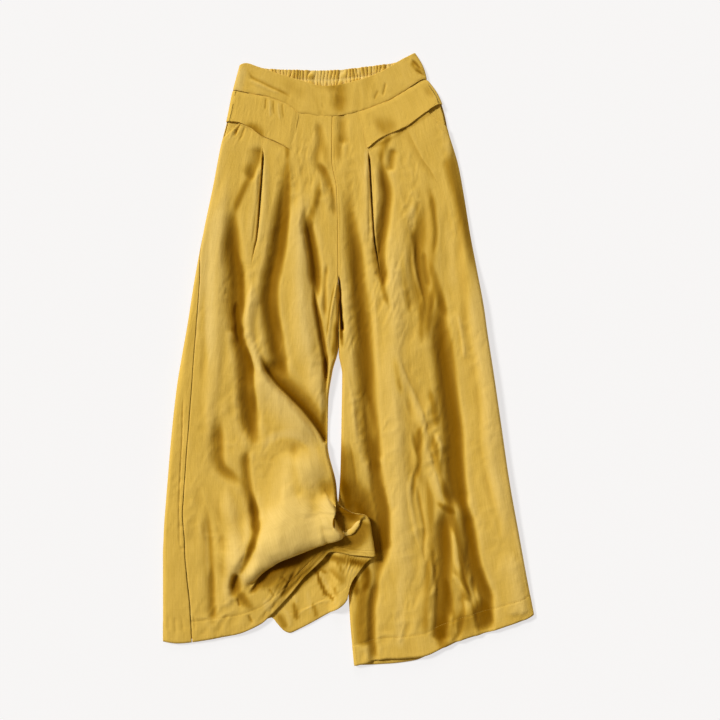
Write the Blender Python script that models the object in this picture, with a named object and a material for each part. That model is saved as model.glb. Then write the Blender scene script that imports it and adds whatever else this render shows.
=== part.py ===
"""Wide-leg linen culottes laid flat on a surface, face up.

Each leg is a tube of cloth: an upper layer (the front) over a lower layer (the back).
Tables are in millimetres: +X to the wearer's left, +Y to the waist, Z up from the surface.
Across a leg, w runs 0 to 1 over the upper layer from -X to +X, then 1 to 2 back under it.
Down a leg, v runs from 0 at the waist seam to 1 at the hem.
"""
from collections import namedtuple

import bpy
import numpy as np

MM = 0.001
CLOTH = 1.2                 # one layer of crinkled linen
DOUBLE = 2.2                # two layers: bands, flaps and turned-up hems
SEAM_GAP = 0.3
FLOOR_BLEND = 1.4           # rounding where the upper layer comes down near the lower one
FOLD_FADE = 0.2             # share of a fold's path it dies out over at each end
WAIST_REACH, HEM_REACH = 6, 5          # how quickly the waist's and the hem's curves fade down the leg
SIDE_SHARE = 0.3            # share of the right leg's width that the side seam's shift spreads over
POCKET_SHARE = 0.22         # the same for the left leg's pocket mouth
CURL_RISE = 10.0            # rise of the right edge over which its fold widens
HALF_GAP_W = 0.0016         # half the seam gap as a share of w
NUDGE = 1e-3                # step in w and v for measuring a slope
HEM_START = 0.96            # v where the turned-up hem begins
TURN = 0.03                 # share of w that a folded side edge takes
TURN_RADIUS = 5.0           # plan width of that folded edge
CURL_RADIUS = 8.0           # the same where the right hem curls over the other leg
EDGE_HEIGHT = 3.4           # middle of a folded side edge above the surface
POCKET_SINK = 2.7           # pocket facing below the front leg
POCKET_LAP = 0.05           # share of w that the facing runs on under the front leg
RISE_GAP = 0.9
CROTCH_Y = 138.0
BAND_HEIGHT = 8.0           # upper edge of the front waistband above the surface
BACK_RISE = 27.0            # how much higher the back waist seam is at the centre
FLAP_STAND = 3.5            # how far the left flap's lower edge stands off the leg
LIFT_START, LIFT_WIDTH = -34.0, 18.0   # X where the right hem climbs onto the left leg

Section = namedtuple(
    "Section", "name v left_x left_y right_x right_y loft_left loft_right right_edge over side closed")

RIGHT_LEG = [
    #        name           v     left_x left_y right_x right_y loft_l loft_r edge over side  closed
    Section("waist",        0.00, -191,  449,  -26,   405,   8, 9, 3.4,  0, 0.16, 0),
    Section("flap_end",     0.055, -201, 398,  -27,   360,   10.3, 11.3, 3.4,  0, 0.12, 0),
    Section("pocket_end",   0.10, -211,  358,  -27,   318,  12.8, 13.8, 3.4,  0, 0.00, 0),
    Section("hip",          0.18, -225,  285,  -19,   245,  14, 15, 3.4,  0, 0.00, 0),
    Section("seat",         0.24, -237,  228,  -18,   186,  15, 15, 3.4,  0, 0.00, 0),
    Section("crotch",       0.29, -246,  183,  -17.4, 138,  15, 15, 3.4,  0, 0.015, 0),
    Section("upper_thigh",  0.35, -256,  128,  -18.5,  88,  15, 14, 3.4,  0, 0.05, 1),
    Section("thigh",        0.42, -266,   63,  -18,    30,  15, 13, 3.4,  0, 0.07, 1),
    Section("lower_thigh",  0.48, -276,    8,  -27,   -20,  14, 13, 3.4,  0, 0.09, 1),
    Section("above_knee",   0.54, -285,  -47,  -34,   -70,  14, 13, 3.4,  0, 0.11, 1),
    Section("knee",         0.63, -294, -129,  -35,  -140,  14, 14, 3.4,  0, 0.118, 1),
    Section("below_knee",   0.72, -301, -212,  -21,  -205,  13, 16, 4.5,  1, 0.114, 1),
    Section("curl_start",   0.76, -304, -249,  -18,  -239,  13, 17, 11.0, 8, 0.115, 1),
    Section("curl_rim",     0.79, -306, -276,    6,  -253,  13, 18, 14.0, 10, 0.118, 1),
    Section("curl_tip",     0.815, -307, -299,  28,  -257,   12, 19, 15.0, 10, 0.12, 1),
    Section("curl_side",    0.84, -308, -322,   36,  -269,   12, 20, 15.5, 10, 0.122, 1),
    Section("curl_lower",   0.88, -308, -359,   39,  -290,   11, 21, 16.0, 10, 0.13, 1),
    Section("above_hem",    0.93, -308, -405,   42,  -307,   9.4, 19.5, 14.5, 9, 0.142, 1),
    Section("hem",          1.00, -308, -469,   44,  -325,   5, 18, 13.5, 9, 0.15, 1),
]

LEFT_LEG = [
    #        name           v     left_x left_y right_x right_y loft_l loft_r edge over side  closed
    Section("waist",        0.00,  -25,  405,  129,   466,   9, 8, 3.4,  0, 0.84, 0),
    Section("under_flap",   0.03,  -26,  378,  148,   439,  10.5, 9.5, 3.4,  0, 0.84, 0),
    Section("flap_end",     0.06,  -27,  350,  158,   413,  11.5, 11.5, 3.4,  0, 0.88, 0),
    Section("pocket_end",   0.10,  -26,  314,  166,   377,  13.8, 12.8, 3.4,  0, 1.00, 0),
    Section("hip",          0.16,  -19,  259,  182,   324,  15, 14, 3.4,  0, 1.00, 0),
    Section("seat",         0.22,  -18,  204,  192,   270,  15, 15, 3.4,  0, 1.00, 0),
    Section("crotch",       0.29,  -16.6, 138, 202,   208,  15, 15, 3.4,  0, 1.00, 0),
    Section("upper_thigh",  0.35,  -15,   85,  212,   155,  14, 15, 3.4,  0, 1.00, 1),
    Section("thigh",        0.42,  -15,   21,  224,    92,  13, 15, 3.4,  0, 1.00, 1),
    Section("lower_thigh",  0.47,  -10,  -25,  230,    48,  13, 15, 3.4,  0, 1.00, 1),
    Section("above_knee",   0.55,  -11,  -98,  241,   -24,   12, 15, 3.4,  0, 1.00, 1),
    Section("knee",         0.65,  -13, -189,  254,  -113,   9.5, 15, 3.4,  0, 1.00, 1),
    Section("below_knee",   0.75,   -9, -281,  267,  -202,   7.5, 15, 3.4, 0, 1.00, 1),
    Section("shin",         0.85,   -1, -372,  283,  -291,   7.5, 14, 3.4, 0, 1.00, 1),
    Section("above_hem",    0.93,    4, -445,  296,  -362,   8, 11.4, 3.4,  0, 1.00, 1),
    Section("hem",          1.00,   10, -509,  308,  -424,   7.5, 7.5, 3.4,  0, 1.00, 1),
]

RISE_LINE = {"y": (138, 212, 282, 332, 366, 432), "x": (-17, -17.5, -19.5, -27.5, -27.5, -25.5)}

# How far a cross line hangs below the straight line between its two ends, by share u across.
Drop = namedtuple("Drop", "u drop")
RIGHT_WAIST = Drop((0, .2, .34, .45, .54, .6, .67, .77, .84, 1), (0, -2, -4, -2.5, .5, 4, 9, 6.5, 6, 0))
LEFT_WAIST = Drop((0, .07, .23, .4, .57, .73, .86, .95, 1), (0, 3, 8, 10, 10, 6, .5, -2.5, 0))
RIGHT_BACK_WAIST = Drop((0, .5, 1), (0, -10, -BACK_RISE))
LEFT_BACK_WAIST = Drop((0, .5, 1), (-BACK_RISE, -10, 0))
RIGHT_HEM = Drop((0, .07, .13, .27, .38, .46, .5, .6, .67, .75, .79, .83, .89, .95, 1),
                 (0, 13, 20, 32, 39, 37, 31, 8, -12, -27, -34, -30, -18, -8, 0))
RIGHT_BACK_HEM = Drop((0, .17, .36, .465, .51, .54, .574, .605, .645, .754, .841, .873, .884, .917, .96, 1),
                      (0, 19, 35, 33, 34, 49, 66, 73, 72, 67, 61, 52, 32, 18, 5, 0))
LEFT_HEM = Drop((0, .15, .28, .4, .49, .56, .63, .74, .85, .95, 1),
                (0, 2, 11, 16.5, 12, 9, 7, 7.5, 6, 4, 0))
LEFT_BACK_HEM = Drop((0, .13, .28, .35, .42, .49, .56, .74, .95, 1),
                     (0, 9.5, 18.5, 20.5, 17, 10, 7, 6, 2, 0))
BAND_TOP = Drop((0, .03, .1, .19, .32, .5, .66, .81, .92, 1), (0, -2, 5, 16, 30, 45, 40, 27, 10.5, 0))
BAND_BACK_TOP = Drop((0, .03, .12, .28, .57, .75, .89, 1), (0, -2, 6.5, 12.6, 18.4, 16, 13, 0))
BAND_TOP_LEFT = (-180, 489)
BAND_TOP_RIGHT = (110, 509)
BAND_SIDE_BULGE = 3.5

# A ridge (+) or valley (-) along a path; left and right are its half widths as one walks the path.
Fold = namedtuple("Fold", "name height left right path")

RIGHT_FOLDS = [
    Fold("pleat_slit", -7, 2.7, 2.5, ((-142, 349), (-142, 324), (-145, 290), (-149, 232))),
    Fold("hip_valley", -9, 12, 20, ((-161, 306), (-181, 269), (-192, 219), (-181, 169), (-174, 82),
         (-171, 12))),
    Fold("thigh_valley", -9, 13, 25, ((-171, 82), (-171, 29), (-158, -42), (-158, -84), (-164, -148),
         (-166, -171))),
    Fold("low_valley", -7, 10, 15, ((-156, -226), (-141, -294), (-166, -338), (-182, -384),
         (-188, -402))),
    Fold("knee_ridge", 8, 10, 47, ((-151, -4), (-131, -36), (-86, -76), (-51, -122), (-38, -146))),
    Fold("centre_valley", -9, 21, 28, ((-94, 319), (-108, 216), (-128, 99), (-112, 32), (-72, -69),
         (-34, -131))),
    Fold("inner_valley", -9, 8, 17, ((-72, 256), (-51, 186), (-53, 119), (-41, 39), (-29, -28))),
    Fold("bulge", 12, 57, 60, ((-58, -142), (-76, -192), (-96, -242), (-119, -289), (-146, -338))),
    Fold("roll", 15, 70, 20, ((-184, -374), (-158, -338), (-134, -318), (-98, -302), (-32, -278),
         (-3, -266))),
    Fold("curl_edge", 7, 45, 6, ((-20, -200), (-19, -239), (-20, -262), (-9, -288), (18, -262))),
]

LEFT_FOLDS = [
    Fold("pleat_slit", -7, 3, 2.7, ((33, 346), (38, 294), (39, 229), (44, 169))),
    Fold("orange_valley", -8, 12, 22, ((1, 332), (16, 219), (29, 99), (39, -26), (48, -159),
         (53, -209))),
    Fold("low_valley", -7, 13, 20, ((56, -218), (62, -298), (46, -384), (46, -468), (59, -508))),
    Fold("inseam_slit", -10, 4, 4, ((-15, 150), (-13, 100), (-10, 60), (-9, 40))),
    Fold("curl_shade", -6, 13, 40, ((42, -186), (56, -268), (52, -318))),
    Fold("side_valley", -9, 12, 30, ((142, 182), (158, 99), (174, -9), (188, -171), (206, -284),
         (228, -361), (232, -464))),
    Fold("side_ridge", 6, 35, 16, ((181, 182), (201, 16), (226, -151), (249, -318))),
    Fold("side_fall", -9, 5, 28, ((179, 374), (202, 266), (219, 166), (228, 116))),
]

# Lower edge of each hip flap, as a row of (w, v) on its leg, and where its inner end runs.
FlapEdge = namedtuple("FlapEdge", "w v")
RIGHT_FLAP = FlapEdge((0, .1, .22, .35, .5, .634), (.056, .054, .059, .071, .075, .079))
RIGHT_FLAP_END = (0.667, 0.634)        # w of the inner end at the waist seam and at its lower corner
LEFT_FLAP = FlapEdge((.312, .43, .54, .67, .76, .87, 1), (.073, .062, .059, .058, .053, .049, .045))
LEFT_FLAP_END = (0.271, 0.312)

# Where the grids of each piece have their lines.
TURN_W = (0, .01, .02, .03)
RIGHT_FRONT_W = TURN_W + (.09, .16, .23, .3, .355, .37, .38, .39, .405, .46, .54, .62, .7, .78, .84,
                          .89, .93, .97, .98, .99, 1)
LEFT_FRONT_W = TURN_W + (.09, .15, .21, .255, .27, .28, .29, .305, .36, .43, .5, .57, .64, .71, .78,
                         .85, .91, .97, .98, .99, 1)
BACK_W = TURN_W + (.09, .15, .25, .4, .6, .8, .97, .98, .99, 1)
WRAP_STEPS = 6
RIGHT_ROWS = (0, .03, .055, .08, .09, .1, .14, .18, .23, .29, .31, .35, .41, .48, .56, .64, .7, .74,
              .77, .795, .82, .84, .86, .88, .905, .935, .965, 1)
LEFT_ROWS = (0, .03, .055, .08, .09, .1, .14, .18, .23, .29, .31, .35, .42, .5, .58, .67, .76, .85,
             .93, .965, 1)
POCKET_ROWS = (.002, .03, .055, .075, .09)
FLAP_ROWS = (0, .25, .5, .75, 1)

MUSTARD = (0.62, 0.42, 0.08, 1)
MUSTARD_INSIDE = (0.55, 0.37, 0.07, 1)
LINEN_ROUGHNESS = 0.9


def through(xs, ys, x):
    """Smooth curve through the rows of a table, with no overshoot between them."""
    xs, ys, x = np.asarray(xs, float), np.asarray(ys, float), np.asarray(x, float)
    step = np.diff(xs)
    slope = np.diff(ys) / step
    before, after = slope[:-1], slope[1:]
    total = np.where(before * after > 0, before + after, 1)
    inner = np.where(before * after > 0, 2 * before * after / total, 0)
    tangent = np.concatenate(([slope[0]], inner, [slope[-1]]))
    i = np.clip(np.searchsorted(xs, x) - 1, 0, len(step) - 1)
    t = np.clip((x - xs[i]) / step[i], 0, 1)
    return ((1 + 2 * t) * (1 - t) ** 2 * ys[i] + t * (1 - t) ** 2 * step[i] * tangent[i]
            + t * t * (3 - 2 * t) * ys[i + 1] - t * t * (1 - t) * step[i] * tangent[i + 1])


def ease(t):
    t = np.clip(t, 0, 1)
    return t * t * (3 - 2 * t)


def path_points(path, count=24):
    """Points along a smooth curve through a fold's path."""
    path = np.array(path, float)
    run = np.concatenate(([0], np.cumsum(np.hypot(*np.diff(path, axis=0).T))))
    at = np.linspace(0, run[-1], count)
    return np.column_stack([through(run, path[:, 0], at), through(run, path[:, 1], at)])


def fold_height(x, y, fold):
    """Height that one fold adds at plan points; it dies out at both ends of its path."""
    points = path_points(fold.path)
    start, span = points[:-1], np.diff(points, axis=0)
    length = np.hypot(span[:, 0], span[:, 1])
    dx = x[..., None] - start[:, 0]
    dy = y[..., None] - start[:, 1]
    t = np.clip((dx * span[:, 0] + dy * span[:, 1]) / length ** 2, 0, 1)
    off_x, off_y = dx - t * span[:, 0], dy - t * span[:, 1]
    distance = np.hypot(off_x, off_y)
    nearest = distance.argmin(-1)[..., None]
    side = np.take_along_axis(span[:, 0] * off_y - span[:, 1] * off_x, nearest, -1)[..., 0]
    along = np.take_along_axis(t, nearest, -1)[..., 0] + nearest[..., 0]
    share = along / len(span)
    half = np.where(side > 0, fold.left, fold.right)
    across = ease(1 - distance.min(-1) / half)
    return fold.height * across * ease(share / FOLD_FADE) * ease((1 - share) / FOLD_FADE)


def soft_floor(height, floor):
    """Keep a height above a floor, rounding where the two meet."""
    return 0.5 * (height + floor + np.sqrt((height - floor) ** 2 + FLOOR_BLEND))


class Leg:
    """One leg of the culottes as a closed tube, open at the waist and the hem."""

    def __init__(self, sections, folds, inner, waist, back_waist, hem, back_hem, lean):
        self.columns = {key: [getattr(s, key) for s in sections] for key in Section._fields[1:]}
        self.folds, self.inner, self.lean = folds, inner, lean
        self.lines = {"front": (waist, hem), "back": (back_waist, back_hem)}

    def at(self, key, v):
        return through(self.columns["v"], self.columns[key], v)

    def plan(self, u, v, layer):
        """Plan position of share u along the cross line at v."""
        left_x, left_y = self.at("left_x", v), self.at("left_y", v)
        right_x, right_y = self.at("right_x", v), self.at("right_y", v)
        rise_y = left_y if self.inner == "left" else right_y
        above = rise_y > CROTCH_Y
        rise_x = through(RISE_LINE["y"], RISE_LINE["x"], np.clip(rise_y, CROTCH_Y, None))
        if self.inner == "left":
            left_x = np.where(above, rise_x + RISE_GAP / 2, left_x)
        else:
            right_x = np.where(above, rise_x - RISE_GAP / 2, right_x)
        waist, hem = self.lines[layer]
        x = left_x + (right_x - left_x) * u
        y = left_y + (right_y - left_y) * u
        y = y - through(waist.u, waist.drop, u) * (1 - v) ** WAIST_REACH
        y = y - through(hem.u, hem.drop, u) * v ** HEM_REACH
        return x, y, np.hypot(right_x - left_x, right_y - left_y)

    def point(self, w, v, wall=CLOTH):
        """Middle of the cloth at (w, v): the upper layer up to w = 1, the lower one after it."""
        w, v = np.broadcast_arrays(np.asarray(w, float), np.asarray(v, float))
        upper = (w >= 0) & (w <= 1)
        if self.inner == "right":
            upper = upper | (w > 2)
        share = np.where(w > 2, w - 2, np.where(w > 1, 2 - w, np.abs(w)))
        left_turn = np.clip(share / TURN, 0, 1) * np.pi / 2
        right_turn = np.clip((1 - share) / TURN, 0, 1) * np.pi / 2
        middle = np.clip((share - TURN) / (1 - 2 * TURN), 0, 1)
        closed = ease(self.at("closed", v))
        left_closed = closed if self.inner == "left" else 1.0
        right_closed = closed if self.inner == "right" else 1.0
        edge = self.at("right_edge", v)
        radius = TURN_RADIUS + (CURL_RADIUS - TURN_RADIUS) * ease((edge - EDGE_HEIGHT) / CURL_RISE)
        _, _, width = self.plan(share, v, "front")
        left_r, right_r = TURN_RADIUS / width, radius / width
        u = (left_r * (1 - np.cos(left_turn)) + right_r * np.cos(right_turn)
             + middle * (1 - left_r - right_r))
        front_x, front_y, _ = self.plan(u, v, "front")
        back_x, back_y, _ = self.plan(u, v, "back")
        x, y = np.where(upper, front_x, back_x), np.where(upper, front_y, back_y)
        lower_z = wall / 2 + self.at("over", v) * ease((x - LIFT_START) / LIFT_WIDTH)
        left_loft, right_loft = self.at("loft_left", v), self.at("loft_right", v)
        loft = left_loft + (right_loft - left_loft) * u ** self.lean
        for fold in self.folds:
            loft = loft + fold_height(x, y, fold)
        loft = soft_floor(loft, lower_z + DOUBLE + SEAM_GAP)
        left_fall, right_fall = 1 - np.sin(left_turn), 1 - np.sin(right_turn)
        upper_z = (loft - left_closed * (loft - EDGE_HEIGHT) * left_fall
                   - right_closed * (loft - edge) * right_fall)
        under_z = (lower_z + left_closed * (EDGE_HEIGHT - lower_z) * left_fall
                   + right_closed * (edge - lower_z) * right_fall)
        return np.stack([x, y, np.where(upper, upper_z, under_z)], -1)

    def outward(self, w, v, wall=CLOTH):
        """Outward direction of the cloth at (w, v), kept on its own layer at the open edges."""
        last = 2.0 + (self.inner == "right")
        low_w = np.maximum(w - NUDGE, np.where(w > 1, 1 + 1e-6, 0))
        high_w = np.minimum(w + NUDGE, np.where(w > 1, last, 1))
        across = self.point(high_w, v, wall) - self.point(low_w, v, wall)
        down = self.point(w, np.minimum(v + NUDGE, 1), wall) - self.point(w, np.maximum(v - NUDGE, 0), wall)
        return unit(np.cross(down, across))


def unit(vectors):
    return vectors / np.linalg.norm(vectors, axis=-1, keepdims=True)


def directions(grid):
    """Outward direction of the cloth at each point of a grid."""
    return unit(np.cross(np.gradient(grid, axis=0), np.gradient(grid, axis=1)))


def material(name, colour):
    made = bpy.data.materials.get(name) or bpy.data.materials.new(name)
    made.use_nodes = True
    shader = made.node_tree.nodes["Principled BSDF"]
    shader.inputs["Base Color"].default_value = colour
    shader.inputs["Roughness"].default_value = LINEN_ROUGHNESS
    shader.inputs["Metallic"].default_value = 0.0
    return made


def cloth(name, grid, wall, colour=MUSTARD, outward=None):
    """A closed wall of cloth about the points of a grid, half its thickness to each side."""
    outward = directions(grid) if outward is None else outward
    half = (np.broadcast_to(wall, grid.shape[:2]) / 2)[..., None]
    rows, columns = grid.shape[:2]
    points = np.concatenate([(grid + outward * half).reshape(-1, 3), (grid - outward * half).reshape(-1, 3)])
    index = np.arange(rows * columns).reshape(rows, columns)
    under = index + rows * columns
    faces = []
    for i in range(rows - 1):
        for j in range(columns - 1):
            faces.append((index[i, j], index[i + 1, j], index[i + 1, j + 1], index[i, j + 1]))
            faces.append((under[i, j], under[i, j + 1], under[i + 1, j + 1], under[i + 1, j]))
    rim = [(i, 0) for i in range(rows)] + [(rows - 1, j) for j in range(1, columns)]
    rim += [(i, columns - 1) for i in range(rows - 2, -1, -1)] + [(0, j) for j in range(columns - 2, 0, -1)]
    for here, there in zip(rim, rim[1:] + rim[:1]):
        faces.append((index[there], index[here], under[here], under[there]))
    mesh = bpy.data.meshes.new(name)
    mesh.from_pydata((points * MM).tolist(), [], [tuple(int(k) for k in face) for face in faces])
    mesh.materials.append(material(name + "_linen", colour))
    mesh.shade_smooth()
    made = bpy.data.objects.new(name, mesh)
    bpy.context.collection.objects.link(made)
    return made


def hem_wall(rows):
    """Wall down a leg: doubled below the hem's fold."""
    return np.where(np.array(rows) > HEM_START, DOUBLE, CLOTH)[:, None]


def front_leg(name, leg, rows, stations):
    """Upper layer of a leg, from its outer seam or pocket mouth to the rise and inseam."""
    v = np.array(rows)[:, None] + np.zeros(len(stations))
    w = np.array(stations) + 0 * v
    side = leg.at("side", v)
    if leg.inner == "right":
        w = np.where(w < SIDE_SHARE, side + w * (SIDE_SHARE - side) / SIDE_SHARE, w)
        w = np.clip(w, side + HALF_GAP_W, 1 - HALF_GAP_W)
    else:
        turn = 1 - POCKET_SHARE
        w = np.where(w > turn, turn + (w - turn) * (side - turn) / POCKET_SHARE, w)
        w = np.clip(w, HALF_GAP_W, side - HALF_GAP_W)
    wall = hem_wall(rows) + 0 * v
    return cloth(name, leg.point(w, v, wall), wall, MUSTARD, leg.outward(w, v, wall))


def back_leg(name, leg, rows):
    """Lower layer of a leg; on the right leg it wraps round the outer fold to the side seam."""
    v = np.array(rows)[:, None]
    w = 1 + np.array(BACK_W) + 0 * v
    last = 2 + 0 * v
    if leg.inner == "right":
        last = last + leg.at("side", v) * (v > 0.2)
        wrap = 2 - TURN + (last - 2 + TURN) * np.linspace(0, 1, WRAP_STEPS + 1)
        w = np.concatenate([w[:, :-4], wrap], axis=1)
    w = np.clip(w, 1 + HALF_GAP_W, last - HALF_GAP_W)
    v = v + 0 * w
    wall = hem_wall(rows) + 0 * w
    return cloth(name, leg.point(w, v, wall), wall, MUSTARD_INSIDE, leg.outward(w, v, wall))


def band_line(drop, u):
    """Upper edge of the waistband, front or back."""
    left, right = np.array(BAND_TOP_LEFT, float), np.array(BAND_TOP_RIGHT, float)
    line = left + (right - left) * u[:, None]
    line[:, 1] -= through(drop.u, drop.drop, u)
    return line


def waistband(name, legs, drop, front, colour):
    """A band of doubled cloth between the legs' top rows and its own upper edge."""
    feet, turns = [], []
    for leg, stations in legs:
        side = np.clip(np.array(stations), 2 * HALF_GAP_W, 1 - 2 * HALF_GAP_W)
        w = side if front else 2 - side
        feet.append(leg.point(w, 0 * w, DOUBLE))
        outer = side if leg.inner == "right" else 1 - side
        turns.append(np.sin(np.clip(outer / TURN, 0, 1) * np.pi / 2))
    foot, rise = np.concatenate(feet), np.concatenate(turns)
    u = (foot[:, 0] - foot[0, 0]) / (foot[-1, 0] - foot[0, 0])
    middle = BAND_HEIGHT if front else DOUBLE / 2
    side_z = EDGE_HEIGHT + (SEAM_GAP / 2 if front else -SEAM_GAP / 2)
    top = np.column_stack([band_line(drop, u), side_z + (middle - side_z) * rise])
    foot = foot + unit(top - foot) * 2 * SEAM_GAP
    share = np.linspace(0, 1, 4)[:, None, None]
    grid = top + (foot - top) * share
    grid[..., 0] += BAND_SIDE_BULGE * np.sin(np.pi * share[..., 0]) * u ** 6
    if not front:
        grid = grid[:, ::-1]
    return cloth(name, grid, DOUBLE, colour)


def flap(name, leg, edge, end, stand):
    """A doubled flap on the leg, from the waist seam and the side down to its free lower edge."""
    share = np.array(FLAP_ROWS)[:, None]
    reach = np.array(TURN_W + (.1, .25, .4, .55, .7, .85, 1))
    end_w = end[0] + (end[1] - end[0]) * share
    if leg.inner == "right":
        w = HALF_GAP_W + np.where(reach <= TURN, reach, reach * end_w)
    else:
        w = np.where(reach <= TURN, 1 - reach, 1 - reach * (1 - end_w))[:, ::-1] - HALF_GAP_W
    v = 2 * HALF_GAP_W + share * through(edge.w, edge.v, w)
    lift = (CLOTH + DOUBLE) / 2 + 2 * SEAM_GAP + stand * share ** 2 * np.ones_like(w)
    return cloth(name, leg.point(w, v) + leg.outward(w, v) * lift[..., None], DOUBLE)


def pocket_facing(name, leg):
    """The cloth that shows in the pocket mouth, one layer below the front leg."""
    v = np.array(POCKET_ROWS)[:, None]
    side = leg.at("side", v)
    inner = np.array((.3, .65, 1))
    if leg.inner == "right":
        w = np.concatenate([np.array(TURN_W) + 0 * v, TURN + (side + POCKET_LAP - TURN) * inner], axis=1)
    else:
        near = side - POCKET_LAP
        turn = 1 - TURN + np.array(TURN_W)
        w = np.concatenate([near + (1 - TURN - near) * (1 - inner[::-1]), turn + 0 * v], axis=1)
    w = np.clip(w, HALF_GAP_W, 1 - HALF_GAP_W)
    v = v + 0 * w
    return cloth(name, leg.point(w, v) - leg.outward(w, v) * POCKET_SINK, CLOTH, MUSTARD_INSIDE)


def build():
    for old in list(bpy.data.objects):
        bpy.data.objects.remove(old, do_unlink=True)
    right = Leg(RIGHT_LEG, RIGHT_FOLDS, "right", RIGHT_WAIST, RIGHT_BACK_WAIST, RIGHT_HEM,
                RIGHT_BACK_HEM, 3)
    left = Leg(LEFT_LEG, LEFT_FOLDS, "left", LEFT_WAIST, LEFT_BACK_WAIST, LEFT_HEM,
               LEFT_BACK_HEM, 1)
    front_leg("front_right_leg", right, RIGHT_ROWS, RIGHT_FRONT_W)
    front_leg("front_left_leg", left, LEFT_ROWS, LEFT_FRONT_W)
    back_leg("back_right_leg", right, RIGHT_ROWS)
    back_leg("back_left_leg", left, LEFT_ROWS)
    waistband("front_waistband", ((right, RIGHT_FRONT_W), (left, LEFT_FRONT_W)), BAND_TOP, True, MUSTARD)
    waistband("back_waistband", ((right, BACK_W), (left, BACK_W)), BAND_BACK_TOP, False, MUSTARD_INSIDE)
    flap("hip_flap_right", right, RIGHT_FLAP, RIGHT_FLAP_END, 0.5)
    flap("hip_flap_left", left, LEFT_FLAP, LEFT_FLAP_END, FLAP_STAND)
    pocket_facing("pocket_facing_right", right)
    pocket_facing("pocket_facing_left", left)


build()
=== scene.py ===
"""Looks of the wide-leg linen culottes: crinkled cloth, folds, seams, stitches and gathers.

Every table is in millimetres: +X to the wearer's left, +Y to the waist, Z up from the surface.
Across a leg, w runs 0 to 1 over the upper layer from -X to +X, then 1 to 2 back under it; the right
leg's lower layer runs on past 2, round the outer fold to the side seam.
Down a leg, v runs from 0 at the waist seam to 1 at the hem.
"""
from collections import namedtuple

import bpy
import numpy as np
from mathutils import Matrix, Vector
from mathutils.bvhtree import BVHTree


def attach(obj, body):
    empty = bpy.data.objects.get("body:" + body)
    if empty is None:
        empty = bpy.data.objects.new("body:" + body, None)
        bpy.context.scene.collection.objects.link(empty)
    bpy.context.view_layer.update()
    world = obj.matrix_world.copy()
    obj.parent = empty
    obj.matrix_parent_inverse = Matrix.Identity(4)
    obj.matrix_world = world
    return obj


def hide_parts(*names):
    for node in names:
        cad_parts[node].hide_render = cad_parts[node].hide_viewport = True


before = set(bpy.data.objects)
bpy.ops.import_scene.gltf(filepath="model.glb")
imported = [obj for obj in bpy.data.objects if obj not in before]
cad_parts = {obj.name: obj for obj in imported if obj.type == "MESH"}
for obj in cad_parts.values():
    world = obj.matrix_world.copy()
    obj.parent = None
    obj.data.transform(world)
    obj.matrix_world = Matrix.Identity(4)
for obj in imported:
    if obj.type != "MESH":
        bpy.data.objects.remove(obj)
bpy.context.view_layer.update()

MM = 0.001
CLOTH = 1.2                 # one layer of crinkled linen
DOUBLE = 2.2                # two layers, as in the bands
RIM = 0.7                   # share of the wall's thickness left at a rounded edge
SEAM_GAP = 0.3
HALF_GAP_W = 0.0016         # half the seam gap as a share of w
NUDGE = 1e-3                # step in w and v for measuring a slope
FAR_W = 9                   # a w that no point comes near
LEG_ACROSS, LEG_DOWN = 280.0, 900.0    # size of a leg's chart, for the weave
BAND_ACROSS, BAND_DOWN = 300, 52       # the same for a waistband

TURN = 0.03                 # share of w that a folded side edge takes
TURN_RADIUS = 5.0           # plan width of that folded edge
CURL_RADIUS = 8.0           # the same where the right hem curls over the other leg
CURL_CLIMB = 10             # how far that curl's edge stands above a plain one where it is widest
EDGE_HEIGHT = 3.4           # middle of a folded side edge above the surface
OUTER_TURN = 1.97           # w where the right leg's lower layer begins to turn round the outer fold
SEAM_TOP = 0.2              # v above which that layer stops at the fold
CROTCH_Y = 138.0
RISE_GAP = 0.9
LIFT_START, LIFT_WIDTH = -34.0, 18.0   # X where the right hem climbs onto the left leg
LIFT = 13                   # how far it climbs
WAIST_FADE, HEM_FADE = 6, 5            # powers by which the waist's and the hem's drop die away
HEM_START = 0.962           # v where the turned-up hem begins
HEM_EXTRA, HEM_STEP = 0.5, 0.003       # how much thicker a pressed hem is, and the v it takes
EVEN_WAIST, EVEN_SIDE = 0.08, 0.05     # v and share of w over which wrinkles grow from the seams
SPACE_BLEND = 1.4           # how softly the upper layer comes to rest on the lower one
SIDE_DIP, WAIST_DIP, HEM_DIP = (1.1, 1.6), (0.4, 1.8), (0.5, 1.5)  # depth and reach of a seam's hollow

BASE_CREASE = 0.9           # how creased the upper layer is where no patch adds to it
LOWER_CREASE, LIFTED_CREASE = 0.45, 0.5    # the same for the lower layer, flat and over the other leg
LOWER_BIAS = 0.8            # how much of the lower layer's wrinkles stands off the surface
WANDER_CELLS, WANDER_X, WANDER_Y = 64, 7.3, 11.9    # size of a table of random values, and its start
SMALL_FORMS = ((3, 4), 2.5, 0.36)      # cells averaged each way, depth, weight, for shade painted where the cloth lies hollow
LARGE_FORMS = ((8, 12), 6.0, 0.3)
VALLEY_DEPTH = 11.0         # depth of a fold that is painted wholly in shade
SLIT_DEPTH = 1.5            # painted-shading value where no light reaches, painted near black
INNER_SHARE, INNER_V = 0.05, 0.02      # share of w and v over which painted shade grows from a leg's edges
TUCK_REACH, TUCK_POINTS = 4, 40        # reaches from its path that a tuck acts over; points along it
TUCK_PLACES = (0, .6, 1)    # shares of the path that a tuck's three reaches are for

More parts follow.
